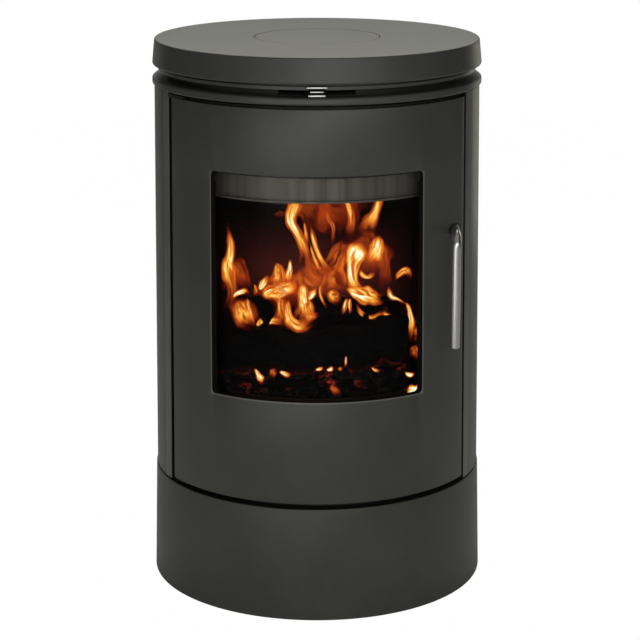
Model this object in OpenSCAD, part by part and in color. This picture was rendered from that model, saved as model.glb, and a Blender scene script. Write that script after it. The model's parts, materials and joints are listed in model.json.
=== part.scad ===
// Round wood stove with a curved glass door, on a plinth.
// Units are millimetres. The origin is the middle of the base, +Z is up and the door faces -Y.
// Angles named "deg" are measured round the stove from the front, positive towards the handle.

/* [Heights] */
// Height of the whole stove
total_h = 771; // [700:1:900]
// Height of the plinth
plinth_h = 159.3; // [120:0.1:200]
// Gap between the plinth and the lower edge of the door
door_foot_gap = 7.5; // [6.7:0.1:15]
// Thickness of the top plate
top_plate_h = 35.1; // [25:0.1:45]
// Gap between the top plate and the crown ring, where the air slot is
crown_gap = 16.4; // [15:0.1:19]
// Height of the crown ring
crown_h = 10; // [9:0.1:14]
// Gap between the door and the crown ring
door_top_gap = 5.9; // [5:0.1:8]

/* [Radii] */
// Radius of the casing and door at the foot of the door; every other radius follows it
body_r_foot = 232.1; // [205:0.1:260]
// How much narrower the casing and door are at the top of the door
body_taper = 5.9; // [0:0.1:8]
// How far the top plate's lower edge stands out past the top of the door
top_plate_step = 2.4; // [1:0.1:6]
// How far the top plate draws in towards its upper edge
top_plate_draft = 3.1; // [1:0.1:5]
// How far the crown ring stands out past the top of the door
crown_step = 2.8; // [2:0.1:5]
// How far the plinth's upper edge stands out past the foot of the door
plinth_step = 1.4; // [0.5:0.1:4]
// How much wider the plinth is on the floor
plinth_flare = 4.2; // [0:0.1:9]
// How far the collar above the air slot stands in from the top plate
collar_inset = 8.1; // [7:0.1:11]
// How far the neck behind the air slot stands in from the collar
neck_inset = 12.5; // [10:0.1:16]

/* [Door] */
// Angle of the door's hinge edge
door_left_deg = -59.7; // [-60.2:0.1:-58.5]
// Angle of the door's handle edge
door_right_deg = 61.2; // [60.8:0.1:61.5]
// Thickness of the door panel at its upper edge
door_t = 6.2; // [5:0.1:7]
// Half angle of the window
window_deg = 38.2; // [30:0.1:39]
// Height of the door below the window
window_foot = 143.2; // [138:0.1:175]
// Height of the door above the window
window_head = 87.6; // [83:0.1:150]
// Thickness of the glass
glass_t = 4; // [3:0.5:4.5]
// Thickness of the flat seal between the glass and the door
glass_seal_t = 1.5; // [1:0.1:2]
// Width of the rope seal
rope_w = 8; // [6:0.5:9]
// How far the hinge axis stands in from the door's upper edge
hinge_depth = 1.2; // [1:0.1:1.6]
// Radius of the hinge pins
hinge_pin_r = 2.5; // [2:0.1:2.8]

/* [Handle] */
// Radius of the handle bar
handle_r = 6.5; // [5:0.1:7]
// How far the handle bar stands in from the side of the stove
handle_inset = 39.7; // [39.2:0.1:40.2]
// Distance from the door's upper edge down to the handle's spindle
handle_drop = 177.6; // [140:0.1:225]
// Distance from the door forward to the upright bar
handle_stand = 50; // [44:1:62]
// Length of the handle, from its spindle down to the cut end of the bar
handle_l = 154; // [120:1:190]
// Radius of the bend at the top of the bar
handle_bend_r = 15; // [9:0.5:25]

/* [Casing] */
// Angle where the hinge-side casing starts
casing_left_deg = -62.8; // [-63.6:0.1:-62.7]
// Angle where the handle-side casing starts
casing_right_deg = 62.6; // [62.5:0.1:63.5]
// Angle where the side casings end and the rear casing starts
rear_deg = 150; // [140:1:160]
// Thickness of the casing sheet
casing_t = 3; // [1.5:0.1:3.2]

/* [Firebox] */
// Gap between the door panel and the front frame that it closes on
frame_gap = 8.3; // [8.2:0.1:9]
// Thickness of the front frame
frame_t = 5.7; // [4:0.1:6.5]
// Half angle of the front frame
frame_deg = 54.5; // [54:0.1:54.6]
// Half angle of the frame's opening on the fire
mouth_deg = 48; // [46:0.5:49]
// How far the inside of the firebox wall stands in from the handle's spindle
firebox_inset = 21.5; // [21:0.5:26]
// Gap between the firebox's back wall and the heads of the rear base bolts
firebox_bolt_gap = 1.35; // [1:0.05:20]
// Thickness of the firebox steel
steel_t = 4; // [3:0.5:4.5]
// Thickness of the fire bricks
brick_t = 25; // [20:1:30]
// How far the firebox floor lies below the window
hearth_drop = 25; // [20:1:30]
// Inner radius of the flue spigot
flue_bore_r = 75.5; // [60:0.5:77]
// Distance from the firebox top down to the middle of the flue
flue_drop = 90; // [84:1:100]
// How far the flue spigot ends behind the foot of the casing
flue_out = 3.9; // [0:0.1:5]

/* [Top] */
// Radius of the cover over the top flue outlet
cover_r = 87; // [80:0.5:95]
// Thickness of the cover
cover_t = 5; // [4:0.5:6]
// Width of the air tab's upper blade
tab_w = 27; // [20:1:34]

/* [Ash pan] */
// How far each side of the ash pan stands in from the edge of its mouth
pan_inset = 12; // [10:1:45]
// Depth of the ash pan, front to back
pan_d = 230; // [150:1:240]
// Height of the ash pan
pan_h = 54; // [35:1:56]

/* [Hidden] */
$fn = 96;

// Clearances: between still parts, running on a pin, between parts that slide, behind a seal
still_gap = 0.3;
pin_gap = 0.06;
slide_gap = 0.4;
seal_gap = 0.15;
// How far a cutting shape runs past what it cuts
past = 5;

// The chain of radii, from the foot of the body
body_r_top = body_r_foot - body_taper;
top_plate_r = body_r_top + top_plate_step;
crown_r = body_r_top + crown_step;
plinth_r_top = body_r_foot + plinth_step;
plinth_r_foot = plinth_r_top + plinth_flare;
collar_r = top_plate_r - collar_inset;
neck_r = collar_r - neck_inset;
door_inner_r = body_r_top - door_t;
hinge_r = body_r_top - hinge_depth;
frame_r = door_inner_r - frame_gap;

// The stack of heights
door_bottom = plinth_h + door_foot_gap;
top_plate_z = total_h - top_plate_h;
crown_top = top_plate_z - crown_gap;
crown_z = crown_top - crown_h;
door_top = crown_z - door_top_gap;
collar_drop = 7.2;
collar_z = top_plate_z - collar_drop;
collar_h = 4.3;
collar_foot_w = 6;
base_t = 6;
base_sink = 2;
base_top = plinth_h - base_sink;
casing_foot_gap = 1.5;
casing_top_gap = 1;
casing_z = plinth_h + casing_foot_gap;
casing_top = crown_z - casing_top_gap;
top_deck_t = 3;
top_deck_drop = 3.5;
top_deck_z = crown_z - top_deck_drop - top_deck_t;
window_bottom = door_bottom + window_foot;
window_top = door_top - window_head;
window_h = window_top - window_bottom;
hearth_z = window_bottom - hearth_drop;
handle_z = door_top - handle_drop;
handle_end_z = handle_z - handle_l;
floor_t = 4;
plinth_t = 3;
plinth_edge_r = 1.4;

// The door and casing follow one cone.
function body_r(z) = body_r_top + (door_top - z) * (body_r_foot - body_r_top) / (door_top - door_bottom);
function plinth_r(z) = plinth_r_foot + (plinth_r_top - plinth_r_foot) * z / plinth_h;
function arc_deg(length, r) = length / r * 180 / PI;

// Hinge: the axis stands just beside the door's hinge edge.
hinge_inset = 3.2;
hinge_deg = door_left_deg - arc_deg(hinge_inset, hinge_r);
eye_wall = 1.7;
eye_r = hinge_pin_r + eye_wall;
eye_t = 3.7;
eye_notch = 2;
eye_reach_deg = 8;
pin_entry = 1;
pin_step = 0.5;

// The glass, its seal, clips and screws
glass_r = door_inner_r - glass_seal_t;
glass_deg = window_deg + 3.3;
glass_lap = 10;
clip_t = 1.8;
clip_h = 24;
clip_lap_deg = 2;
clip_foot_deg = 4.5;
clip_inset = 30;
clip_zs = [window_bottom + clip_inset, window_bottom + window_h / 2, window_top - clip_inset];
clip_screw_deg = glass_deg + 2.6;
seal_lap = 2;
door_edge = 1;
screw_r = 2;
screw_head_r = 3.6;
screw_head_h = 2;
screw_entry = 3;
screw_tip_gap = 0.5;

// Rope seal on the back of the door, pressed against the front frame
rope_deg = frame_deg - 1;
rope_side_deg = arc_deg(rope_w, frame_r + slide_gap);
rope_foot = 4.2;
rope_head = 7.6;
rope_z = door_bottom + rope_foot;
rope_top = door_top - rope_head;

// Handle spindle and latch
bush_wall = 2;
bush_r = handle_r + bush_wall;
thread_r = 4;
handle_x = body_r_top - handle_inset;
door_face_y = sqrt(pow(body_r_top, 2) - pow(handle_x, 2));
handle_reach = door_face_y + handle_stand;
cam_t = 5;
cam_depth = 24;
cam_y = cam_depth - door_face_y;
cam_l = 13;
cam_h = 12;
nut_t = 5;
nut_r = 7;
thread_past = 1;
keeper_t = 1.5;
keeper_gap = 1;
keeper_h = 42;
keeper_w = 10;
keeper_foot = 20;

// Firebox
frame_in_r = frame_r - frame_t;
firebox_x = handle_x - firebox_inset;
// The back wall clears the rear bolts, and its corners stay inside the body.
post_inset = 16;
post_ring_r = frame_in_r - post_inset;
bolt_head_r = 9;
box_corner_gap = 2;
firebox_y = min(post_ring_r * sin(45) - bolt_head_r - firebox_bolt_gap - steel_t,
    sqrt(pow(frame_in_r, 2) - pow(firebox_x, 2)) - box_corner_gap);
wall_x = firebox_x + steel_t;
keeper_x = wall_x + keeper_w;
mouth_foot = 5;
mouth_head = 24;
mouth_z = hearth_z + mouth_foot;
mouth_top = window_top + mouth_head;
pan_mouth_foot = 28.7;
pan_mouth_head = 23;
pan_mouth_z = base_top + pan_mouth_foot;
pan_mouth_top = hearth_z - pan_mouth_head;
pan_mouth_deg = 37;
box_drop = 13;
box_top = top_deck_z - box_drop;
floor_z = hearth_z - steel_t;
brick_front_inset = 111;
brick_front_y = brick_front_inset - frame_in_r;
brick_back_y = firebox_y - brick_t;
side_brick_l = brick_back_y - brick_front_y;
baffle_back_drop = 190;
baffle_front_drop = 100;
baffle_lap = 5;
baffle_back_z = box_top - baffle_back_drop;
baffle_front_z = box_top - baffle_front_drop;
baffle_front_y = brick_front_y + baffle_lap;
flue_z = box_top - flue_drop;
flue_end_y = body_r_foot + flue_out;
flue_wall = 3;
flue_flange_w = 14;
flue_hole_gap = 6.5;
outlet_inset = 7;
blank_inset = 4;
vent_count = 7;
vent_w = 8;
vent_pitch = 24;
vent_foot = 42.7;
vent_h = 60;
function baffle_z(y) = baffle_back_z + (baffle_front_z - baffle_back_z)
    * (firebox_y - y) / (firebox_y - baffle_front_y);
hearth_side_w = 45;
hearth_front_w = 30;
grate_w = 2 * (firebox_x - brick_t - hearth_side_w);
grate_d = side_brick_l - 2 * hearth_front_w;
grate_t = 10;
grate_slots = 9;
grate_slot_w = 8;
grate_slot_share = 0.72;
grate_lap = 20;
riddle_t = 5;
riddle_side_lap = 25;
riddle_end_lap = 15;
riddle_w = grate_w - 2 * riddle_side_lap;
riddle_d = grate_d - 2 * riddle_end_lap;
riddle_drop = 11;
riddle_z = floor_z - riddle_drop;
rod_r = 4;
rod_entry = 12;
rod_door_gap = 2.5;
rod_front_y = rod_door_gap - door_inner_r;
hanger_t = 3;
hanger_w = 8;
hanger_past = 20;
floor_hole_lap = 5;

// Air-wash deflector and log guard
wash_drop = 40;
wash_head = 13;
wash_gap = 10;
wash_lip_w = 8;
wash_lip_t = 2.5;
wash_t = 3;
wash_deg = 47.5;
guard_gap = 14;
guard_t = 4;
guard_h = 18;
guard_deg = 40;

// Ash pan and its rails
pan_t = 2;
pan_w = 2 * (frame_in_r * sin(pan_mouth_deg) - pan_inset);
pan_front_inset = 36;
pan_front_y = pan_front_inset - frame_in_r;
pan_lift = 4;
pan_z = pan_mouth_z + pan_lift;
rail_t = 3;
rail_gap = 1.5;
rail_h = 14;
rail_w = 14;
rail_past = 10;
lip_w = 60;
lip_d = 14;
lip_t = 4;
lip_drop = 4;

// Casing rail, posts and fasteners
hook_t = 7;
hook_h = 11;
fold_w = 6;
rail_end_deg = 2;
fold_step = 1;
post_r = 12;
post_hole_l = 20;
bolt_l = 15;
post_degs = [45, 135, 225, 315];
bolt_r = 5;
bolt_head_h = 6;
casing_screw_degs = [145, 155, 205, 215];
casing_screw_rise = 5.5;
casing_screw_zs = [casing_z + casing_screw_rise, top_deck_z + top_deck_t / 2];
screw_body_r = 1;
screw_body_l = 11;
case_head_r = 4;
case_head_h = 2;

// Top plate and its cover
skin_t = 8;
lid_t = 10;
flange_t = 5;
edge_r = 3;
rim_edge_r = 2;
cover_gap = 0.8;
cover_edge_r = 1;
seat_w = 7;
cover_lip_h = 8;
cover_lip_t = 3;
deck_hole_gap = 3;
deck_door_gap = 2;
crown_low_edge_r = 2.6;
crown_high_edge_r = 3.4;

// Air control
port_deg = 14;
tab_slot_deg = 14;
port_mid_deg = 15;
port_in_gap = 6;
port_out_gap = 8;
slide_deg = 32;
slide_w = 27;
slide_t = 3;
web_t = 4;
web_w = 37;
neck_t = 3;
neck_in_r = neck_r - neck_t;
flange_in_r = neck_in_r;
neck_foot_w = 5;
slide_in_r = neck_in_r - slide_w;
web_in_r = neck_in_r - web_w;
slot_foot = 0.8;
slot_head = 1;
tab_t = 2.4;
tab_r = crown_r;
tab_back_gap = 1;
tab_back_r = collar_r + tab_back_gap;
tab_low_step = 2;
tab_low_w = tab_w - 2 * tab_low_step;
tab_rib_w = tab_w * 2 / 3;
tab_rib_t = 2;
tab_rib_rise = 5;
tab_foot_gap = 1.3;
tab_head_gap = 1.9;
tab_z = crown_top + tab_foot_gap;
tab_top = top_plate_z - tab_head_gap;
stem_w = 14;
stem_lap = 8;

iron = "#3b3d39";
dark_steel = "#2b2c2a";
stainless = "#c9c8c2";
brick = "#8f8a7c";
glass_tint = [0.12, 0.12, 0.12, 0.45];
rope_grey = "#56564f";

// ---------------------------------------------------------------- shared shapes

// Turns a profile of [radius, height] points from angle a to angle b, seen from the front.
module sweep(points, a, b) {
    rotate([0, 0, a - 90]) rotate_extrude(angle = b - a) polygon(points);
}

// A curved block between two radii, two heights and two angles
module sector(r0, r1, z0, z1, a, b) {
    sweep([[r0, z0], [r1, z0], [r1, z1], [r0, z1]], a, b);
}

module ring(r0, r1, z0, z1) {
    rotate_extrude() polygon([[r0, z0], [r1, z0], [r1, z1], [r0, z1]]);
}

// A round bar that points outwards from the middle, from radius r0 to radius r1
module radial_bar(r, r0, r1, deg, z) {
    rotate([0, 0, deg - 90]) translate([r0, 0, z]) rotate([0, 90, 0])
        cylinder(r = r, h = r1 - r0, $fn = 48);
}

// A round bar along Y, from y0 forward to y1
module bar_y(r, y0, y1, x, z) {
    translate([x, max(y0, y1), z]) rotate([90, 0, 0]) cylinder(r = r, h = abs(y1 - y0), $fn = 64);
}

// A box given by its lowest and highest corners
module block(low, high) {
    translate(low) cube(high - low);
}

// Points of a quarter round from angle a to angle b about [r, z]
function round_edge(r, z, e, a, b) = [for (i = [0:4]) let (t = a + (b - a) * i / 4)
    [r + e * cos(t), z + e * sin(t)]];

module at_hinge() {
    rotate([0, 0, hinge_deg - 90]) translate([hinge_r, 0, 0]) children();
}

// ---------------------------------------------------------------- plinth and base

module floor_plate() {
    color(dark_steel) cylinder(r = plinth_r(0) - plinth_t - still_gap, h = floor_t);
}

module plinth_shell() {
    color(iron) rotate_extrude() polygon(concat(
        [[plinth_r(0) - plinth_t, 0], [plinth_r(0), 0]],
        round_edge(plinth_r(plinth_h) - plinth_edge_r, plinth_h - plinth_edge_r, plinth_edge_r, 0, 90),
        [[plinth_r(plinth_h) - plinth_t, plinth_h]]));
}

module plinth_posts() {
    color(dark_steel) for (a = post_degs) rotate([0, 0, a]) translate([post_ring_r, 0, floor_t])
        difference() {
            cylinder(r = post_r, h = base_top - base_t - floor_t, $fn = 48);
            translate([0, 0, base_top - base_t - floor_t - post_hole_l])
                cylinder(r = bolt_r + pin_gap, h = post_hole_l + past, $fn = 48);
        }
}

module base_plate() {
    color(dark_steel) difference() {
        translate([0, 0, base_top - base_t]) cylinder(r = plinth_r(base_top) - plinth_t - still_gap, h = base_t);
        for (a = post_degs) rotate([0, 0, a]) translate([post_ring_r, 0, base_top - base_t - past])
            cylinder(r = bolt_r + pin_gap, h = base_t + 2 * past, $fn = 48);
    }
}

module base_bolts() {
    color(stainless) for (a = post_degs) rotate([0, 0, a]) translate([post_ring_r, 0, 0]) {
        translate([0, 0, base_top]) cylinder(r = bolt_head_r, h = bolt_head_h, $fn = 6);
        translate([0, 0, base_top - base_t - bolt_l]) cylinder(r = bolt_r, h = base_t + bolt_l, $fn = 48);
    }
}

// Curved rail on the base that the casings hook over
module casing_rail() {
    rail_r = body_r(casing_z) - casing_t - still_gap;
    color(dark_steel) difference() {
        sector(rail_r - hook_t, rail_r, base_top, casing_z + hook_h,
            casing_right_deg + rail_end_deg, 360 + casing_left_deg - rail_end_deg);
        casing_screw_holes();
    }
}

// ---------------------------------------------------------------- casings

module casing_shell(a, b) {
    sweep([[body_r(casing_z) - casing_t, casing_z], [body_r(casing_z), casing_z],
        [body_r(casing_top), casing_top], [body_r(casing_top) - casing_t, casing_top]], a, b);
}

// The folded front edge of a side casing, which reaches inwards
module casing_return(a, b) {
    sweep([[body_r(casing_z) - fold_w, casing_z], [body_r(casing_z) - fold_step, casing_z],
        [body_r(casing_top) - fold_step, casing_top], [body_r(casing_top) - fold_w, casing_top]], a, b);
}

module casing_screw_holes() {
    for (a = casing_screw_degs, z = casing_screw_zs)
        radial_bar(screw_body_r + pin_gap, body_r(z) - screw_body_l - 1, body_r(z) + past, a, z);
}

module side_casing(front, back) {
    turn = front > 0 ? 1 : -1;
    fold = turn * arc_deg(casing_t, body_r_top);
    difference() {
        union() {
            casing_shell(min(front, back), max(front, back));
            casing_return(min(front, front + fold), max(front, front + fold));
        }
        casing_screw_holes();
    }
}

module side_casing_left() {
    color(iron) side_casing(casing_left_deg, -rear_deg);
}

module side_casing_right() {
    color(iron) side_casing(casing_right_deg, rear_deg);
}

module rear_casing() {
    color(iron) difference() {
        casing_shell(rear_deg + 0.1, 360 - rear_deg - 0.1);
        casing_screw_holes();
        bar_y(flue_bore_r + flue_hole_gap, firebox_y + steel_t, flue_end_y + past, 0, flue_z);
        for (i = [0:vent_count - 1]) {
            x = (i - (vent_count - 1) / 2) * vent_pitch;
            block([x - vent_w / 2, firebox_y + steel_t, base_top + vent_foot],
                [x + vent_w / 2, flue_end_y + past, base_top + vent_foot + vent_h]);
        }
    }
}

module casing_screws() {
    color(stainless) for (a = casing_screw_degs, z = casing_screw_zs) {
        radial_bar(screw_body_r, body_r(z) - screw_body_l, body_r(z) + case_head_h / 2, a, z);
        radial_bar(case_head_r, body_r(z) + 0.1, body_r(z) + case_head_h, a, z);
    }
}

// ---------------------------------------------------------------- front frame and firebox

module front_frame() {
    color(dark_steel) difference() {
        sector(frame_in_r, frame_r, base_top, top_deck_z, -frame_deg, frame_deg);
        sector(frame_in_r - past, frame_r + past, mouth_z, mouth_top, -mouth_deg, mouth_deg);
        sector(frame_in_r - past, frame_r + past, pan_mouth_z, pan_mouth_top, -pan_mouth_deg, pan_mouth_deg);
        bar_y(rod_r + slide_gap, -frame_in_r + past, -frame_r - past, 0, riddle_z + riddle_t / 2);
    }
}

// Everything inside the front frame's inner face, between two heights
module inside_frame(z0, z1) {
    translate([0, 0, z0]) cylinder(r = frame_in_r, h = z1 - z0);
}

module firebox_wall() {
    color(dark_steel) difference() {
        intersection() {
            block([-wall_x, -frame_in_r, base_top], [wall_x, firebox_y + steel_t, box_top]);
            inside_frame(base_top, box_top);
        }
        block([-firebox_x, -frame_r, base_top - past], [firebox_x, firebox_y, box_top + past]);
        bar_y(flue_bore_r + flue_wall + pin_gap, firebox_y - past, firebox_y + steel_t + past, 0, flue_z);
    }
}

module firebox_floor() {
    half_w = riddle_w / 2;
    half_d = riddle_d / 2 - floor_hole_lap;
    color(dark_steel) difference() {
        intersection() {
            block([-firebox_x + still_gap, -frame_in_r, floor_z],
                [firebox_x - still_gap, firebox_y - still_gap, hearth_z]);
            inside_frame(floor_z, hearth_z);
        }
        block([-half_w, -half_d, floor_z - past], [half_w, half_d, hearth_z + past]);
    }
}

module firebox_top() {
    color(dark_steel) difference() {
        intersection() {
            block([-wall_x, -frame_in_r, box_top], [wall_x, firebox_y + steel_t, box_top + steel_t]);
            inside_frame(box_top, box_top + steel_t);
        }
        translate([0, 0, box_top - past]) cylinder(r = cover_r - seat_w - outlet_inset, h = steel_t + 2 * past);
    }
}

// Closes the top outlet while the rear one is used
module blanking_plate() {
    color(dark_steel) translate([0, 0, box_top + steel_t]) cylinder(r = cover_r - blank_inset, h = steel_t);
}

module rear_flue_spigot() {
    color(iron) difference() {
        union() {
            bar_y(flue_bore_r + flue_wall, firebox_y, flue_end_y, 0, flue_z);
            bar_y(flue_bore_r + flue_flange_w, firebox_y + steel_t, firebox_y + 2 * steel_t, 0, flue_z);
        }
        bar_y(flue_bore_r, firebox_y - past, flue_end_y + past, 0, flue_z);
    }
}

// Side brick, with its upper edge cut to the slope of the baffle
module side_brick() {
    rotate([90, 0, 90]) linear_extrude(brick_t) polygon([[brick_front_y, hearth_z],
        [brick_back_y, hearth_z], [brick_back_y, baffle_z(brick_back_y)],
        [baffle_front_y, baffle_z(baffle_front_y)], [brick_front_y, baffle_z(baffle_front_y)]]);
}

module fire_brick_left() {
    color(brick) translate([-firebox_x + still_gap, 0, 0]) side_brick();
}

module fire_brick_right() {
    color(brick) translate([firebox_x - still_gap - brick_t, 0, 0]) side_brick();
}

module fire_brick_back() {
    side_x = firebox_x - still_gap;
    color(brick) translate([-side_x, 0, 0]) rotate([90, 0, 90]) linear_extrude(2 * side_x)
        polygon([[brick_back_y, hearth_z], [firebox_y - still_gap, hearth_z],
            [firebox_y - still_gap, baffle_z(firebox_y - still_gap)], [brick_back_y, baffle_z(brick_back_y)]]);
}

module hearth_brick() {
    side_x = firebox_x - brick_t - 2 * still_gap;
    color(brick) difference() {
        block([-side_x, brick_front_y, hearth_z], [side_x, brick_back_y - still_gap, hearth_z + grate_t]);
        block([-grate_w / 2 - slide_gap, -grate_d / 2 - slide_gap, hearth_z - past],
            [grate_w / 2 + slide_gap, grate_d / 2 + slide_gap, hearth_z + grate_t + past]);
    }
}

module grate_slots_cut(width, depth, z0, z1) {
    pitch = (width - 2 * grate_lap) / grate_slots;
    half = min(grate_slot_w, pitch * grate_slot_share) / 2;
    for (i = [0:grate_slots - 1]) {
        x = (i - (grate_slots - 1) / 2) * pitch;
        block([x - half, -depth / 2 + grate_lap, z0 - past], [x + half, depth / 2 - grate_lap, z1 + past]);
    }
}

module fixed_grate() {
    color(dark_steel) difference() {
        block([-grate_w / 2, -grate_d / 2, hearth_z], [grate_w / 2, grate_d / 2, hearth_z + grate_t]);
        grate_slots_cut(grate_w, grate_d, hearth_z, hearth_z + grate_t);
    }
}

// Angle rails under the firebox floor that carry the riddling grate
module grate_hangers() {
    color(dark_steel) for (side = [0, 1]) mirror([side, 0, 0]) {
        web_x = riddle_w / 2 + slide_gap;
        foot_z = riddle_z - hanger_t - still_gap;
        block([web_x, -riddle_d / 2, foot_z], [web_x + hanger_t, riddle_d / 2 + hanger_past, floor_z]);
        block([web_x - hanger_w, -riddle_d / 2, foot_z], [web_x, riddle_d / 2 + hanger_past, foot_z + hanger_t]);
    }
}

// Sloping slab over the fire that rests on the bricks
module baffle_plate() {
    side_x = firebox_x - still_gap;
    color(brick) translate([-side_x, 0, 0]) rotate([90, 0, 90]) linear_extrude(2 * side_x)
        polygon([[firebox_y - still_gap, baffle_z(firebox_y - still_gap)],
            [firebox_y - still_gap, baffle_z(firebox_y) + brick_t],
            [baffle_front_y, baffle_front_z + brick_t], [baffle_front_y, baffle_front_z]]);
}

// Curved steel band that turns clean air down over the glass
module air_wash_deflector() {
    back_r = frame_in_r - wash_gap;
    low = window_top - wash_drop;
    top = mouth_top + wash_head;
    color("#54504a") sweep([[back_r, low], [back_r + wash_lip_w, low], [back_r + wash_lip_w, low + wash_lip_t],
        [back_r + wash_t, low + wash_lip_t], [back_r + wash_t, top - wash_t], [frame_in_r, top - wash_t],
        [frame_in_r, top], [back_r, top]], -wash_deg, wash_deg);
}

module log_guard() {
    color(dark_steel) sector(frame_in_r - guard_gap - guard_t, frame_in_r - guard_gap,
        hearth_z, hearth_z + guard_h, -guard_deg, guard_deg);
}

module ash_pan_rails() {
    color(dark_steel) for (side = [0, 1]) mirror([side, 0, 0]) {
        web_x = pan_w / 2 + rail_gap;
        back_y = pan_front_y + pan_d + rail_past;
        block([web_x, pan_front_y, base_top], [web_x + rail_t, back_y, pan_z + rail_h]);
        block([web_x - rail_w, pan_front_y, pan_z - rail_t - still_gap], [web_x, back_y, pan_z - still_gap]);
    }
}

// ---------------------------------------------------------------- top of the body

module body_top_plate() {
    side_r = body_r(top_deck_z) - casing_t - still_gap;
    color(dark_steel) difference() {
        union() {
            translate([0, 0, top_deck_z]) cylinder(r = door_inner_r - deck_door_gap, h = top_deck_t);
            sector(firebox_y, side_r, top_deck_z, top_deck_z + top_deck_t,
                casing_right_deg + rail_end_deg, 360 + casing_left_deg - rail_end_deg);
        }
        translate([0, 0, top_deck_z - past]) cylinder(r = cover_r + deck_hole_gap, h = top_deck_t + 2 * past);
        casing_screw_holes();
    }
}

// Rounded ring with a flat web inside it; two ports in the web let in the air
module crown_ring() {
    foot_z = top_deck_z + top_deck_t;
    color(iron) difference() {
        rotate_extrude() polygon(concat(
            [[web_in_r, crown_top - web_t], [neck_in_r - neck_foot_w, crown_top - web_t],
                [neck_in_r - neck_foot_w, foot_z], [neck_r, foot_z], [neck_r, crown_z]],
            round_edge(crown_r - crown_low_edge_r, crown_z + crown_low_edge_r, crown_low_edge_r, -90, 0),
            round_edge(crown_r - crown_high_edge_r, crown_top - crown_high_edge_r, crown_high_edge_r, 20, 90),
            [[web_in_r, crown_top]]));
        for (a = [-port_mid_deg, port_mid_deg]) sector(slide_in_r + port_in_gap, neck_in_r - port_out_gap,
            crown_z - past, crown_top + past, a - port_deg / 2, a + port_deg / 2);
    }
}

module neck_ring() {
    color(dark_steel) difference() {
        ring(neck_in_r, neck_r, crown_top, collar_z);
        sector(neck_in_r - past, neck_r + past, crown_top + slot_foot, collar_z - slot_head,
            -tab_slot_deg, tab_slot_deg);
    }
}

module collar_ring() {
    inner_r = neck_in_r - neck_foot_w;
    foot_r = collar_r - collar_foot_w;
    shelf_z = collar_z + collar_h;
    color(iron) rotate_extrude() polygon([[inner_r, collar_z], [collar_r, collar_z], [collar_r, shelf_z],
        [foot_r, shelf_z], [foot_r, top_plate_z], [inner_r, top_plate_z]]);
}

module top_plate() {
    upper_r = top_plate_r - top_plate_draft;
    hole_r = cover_r - seat_w;
    color(iron) rotate_extrude() polygon(concat(
        [[flange_in_r, top_plate_z]],
        round_edge(top_plate_r - edge_r, top_plate_z + edge_r, edge_r, -90, -5),
        round_edge(upper_r - rim_edge_r, total_h - rim_edge_r, rim_edge_r, 5, 90),
        [[cover_r + cover_gap, total_h], [cover_r + cover_gap, total_h - cover_t], [hole_r, total_h - cover_t],
            [hole_r, total_h - lid_t], [upper_r - skin_t, total_h - lid_t],
            [top_plate_r - skin_t, top_plate_z + flange_t], [flange_in_r, top_plate_z + flange_t]]));
}

module flue_cover() {
    lip_r = cover_r - seat_w - cover_gap;
    color(iron) {
        rotate_extrude() polygon(concat([[0, total_h - cover_t], [0, total_h]],
            round_edge(cover_r - cover_edge_r, total_h - cover_edge_r, cover_edge_r, 90, 0),
            [[cover_r, total_h - cover_t]]));
        ring(lip_r - cover_lip_t, lip_r, total_h - cover_t - cover_lip_h, total_h - cover_t);
    }
}

// ---------------------------------------------------------------- air control

module air_slide() {
    color(stainless) sector(slide_in_r, neck_in_r - slide_gap, crown_top + still_gap,
        crown_top + still_gap + slide_t, -slide_deg, slide_deg);
}

// Pull tab: a stem through the slot, a back, two blades and a rib
module air_tab() {
    stem_z = crown_top + still_gap + slide_t;
    color(stainless) intersection() {
        union() {
            block([-stem_w / 2, -tab_back_r - 1, stem_z], [stem_w / 2, -slide_in_r - stem_lap, stem_z + tab_t]);
            block([-tab_low_w / 2, -tab_back_r - tab_t, tab_z], [tab_low_w / 2, -tab_back_r, tab_top]);
            block([-tab_w / 2, -tab_r, tab_top - tab_t], [tab_w / 2, -tab_back_r, tab_top]);
            block([-tab_low_w / 2, -tab_r, tab_z], [tab_low_w / 2, -tab_back_r, tab_z + tab_t]);
            block([-tab_rib_w / 2, -tab_back_r - tab_t - tab_rib_t, tab_z + tab_rib_rise],
                [tab_rib_w / 2, -tab_back_r, tab_z + tab_rib_rise + tab_rib_t]);
        }
        translate([0, 0, crown_top]) cylinder(r = tab_r, h = crown_gap);
    }
}

// ---------------------------------------------------------------- hinge and latch

module lower_hinge_pin() {
    color(stainless) at_hinge() {
        translate([0, 0, base_top]) cylinder(r = eye_r, h = door_bottom - eye_t - still_gap - base_top, $fn = 48);
        translate([0, 0, base_top]) cylinder(r = hinge_pin_r, h = door_bottom - base_top + pin_entry, $fn = 48);
    }
}

module upper_hinge_pin() {
    color(stainless) at_hinge() {
        translate([0, 0, door_top + eye_t + still_gap])
            cylinder(r = eye_r - pin_step, h = door_top_gap - eye_t - still_gap, $fn = 48);
        translate([0, 0, door_top - pin_entry]) cylinder(r = hinge_pin_r, h = door_top_gap + pin_entry, $fn = 48);
    }
}

// A tongue on the door's edge with the hole for a pin
module hinge_eye(z, tongue_r0, tongue_r1) {
    difference() {
        union() {
            at_hinge() translate([0, 0, z]) cylinder(r = eye_r, h = eye_t, $fn = 48);
            sector(tongue_r0, tongue_r1, z, z + eye_t, hinge_deg, hinge_deg + eye_reach_deg);
        }
        at_hinge() translate([0, 0, z - past]) cylinder(r = hinge_pin_r + pin_gap, h = eye_t + 2 * past, $fn = 48);
    }
}

module lower_hinge_eye() {
    color(dark_steel) hinge_eye(door_bottom - eye_t, hinge_r - eye_r, hinge_r + eye_r);
}

module upper_hinge_eye() {
    color(dark_steel) hinge_eye(door_top, hinge_r - eye_r, body_r_top - pin_step);
}

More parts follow.
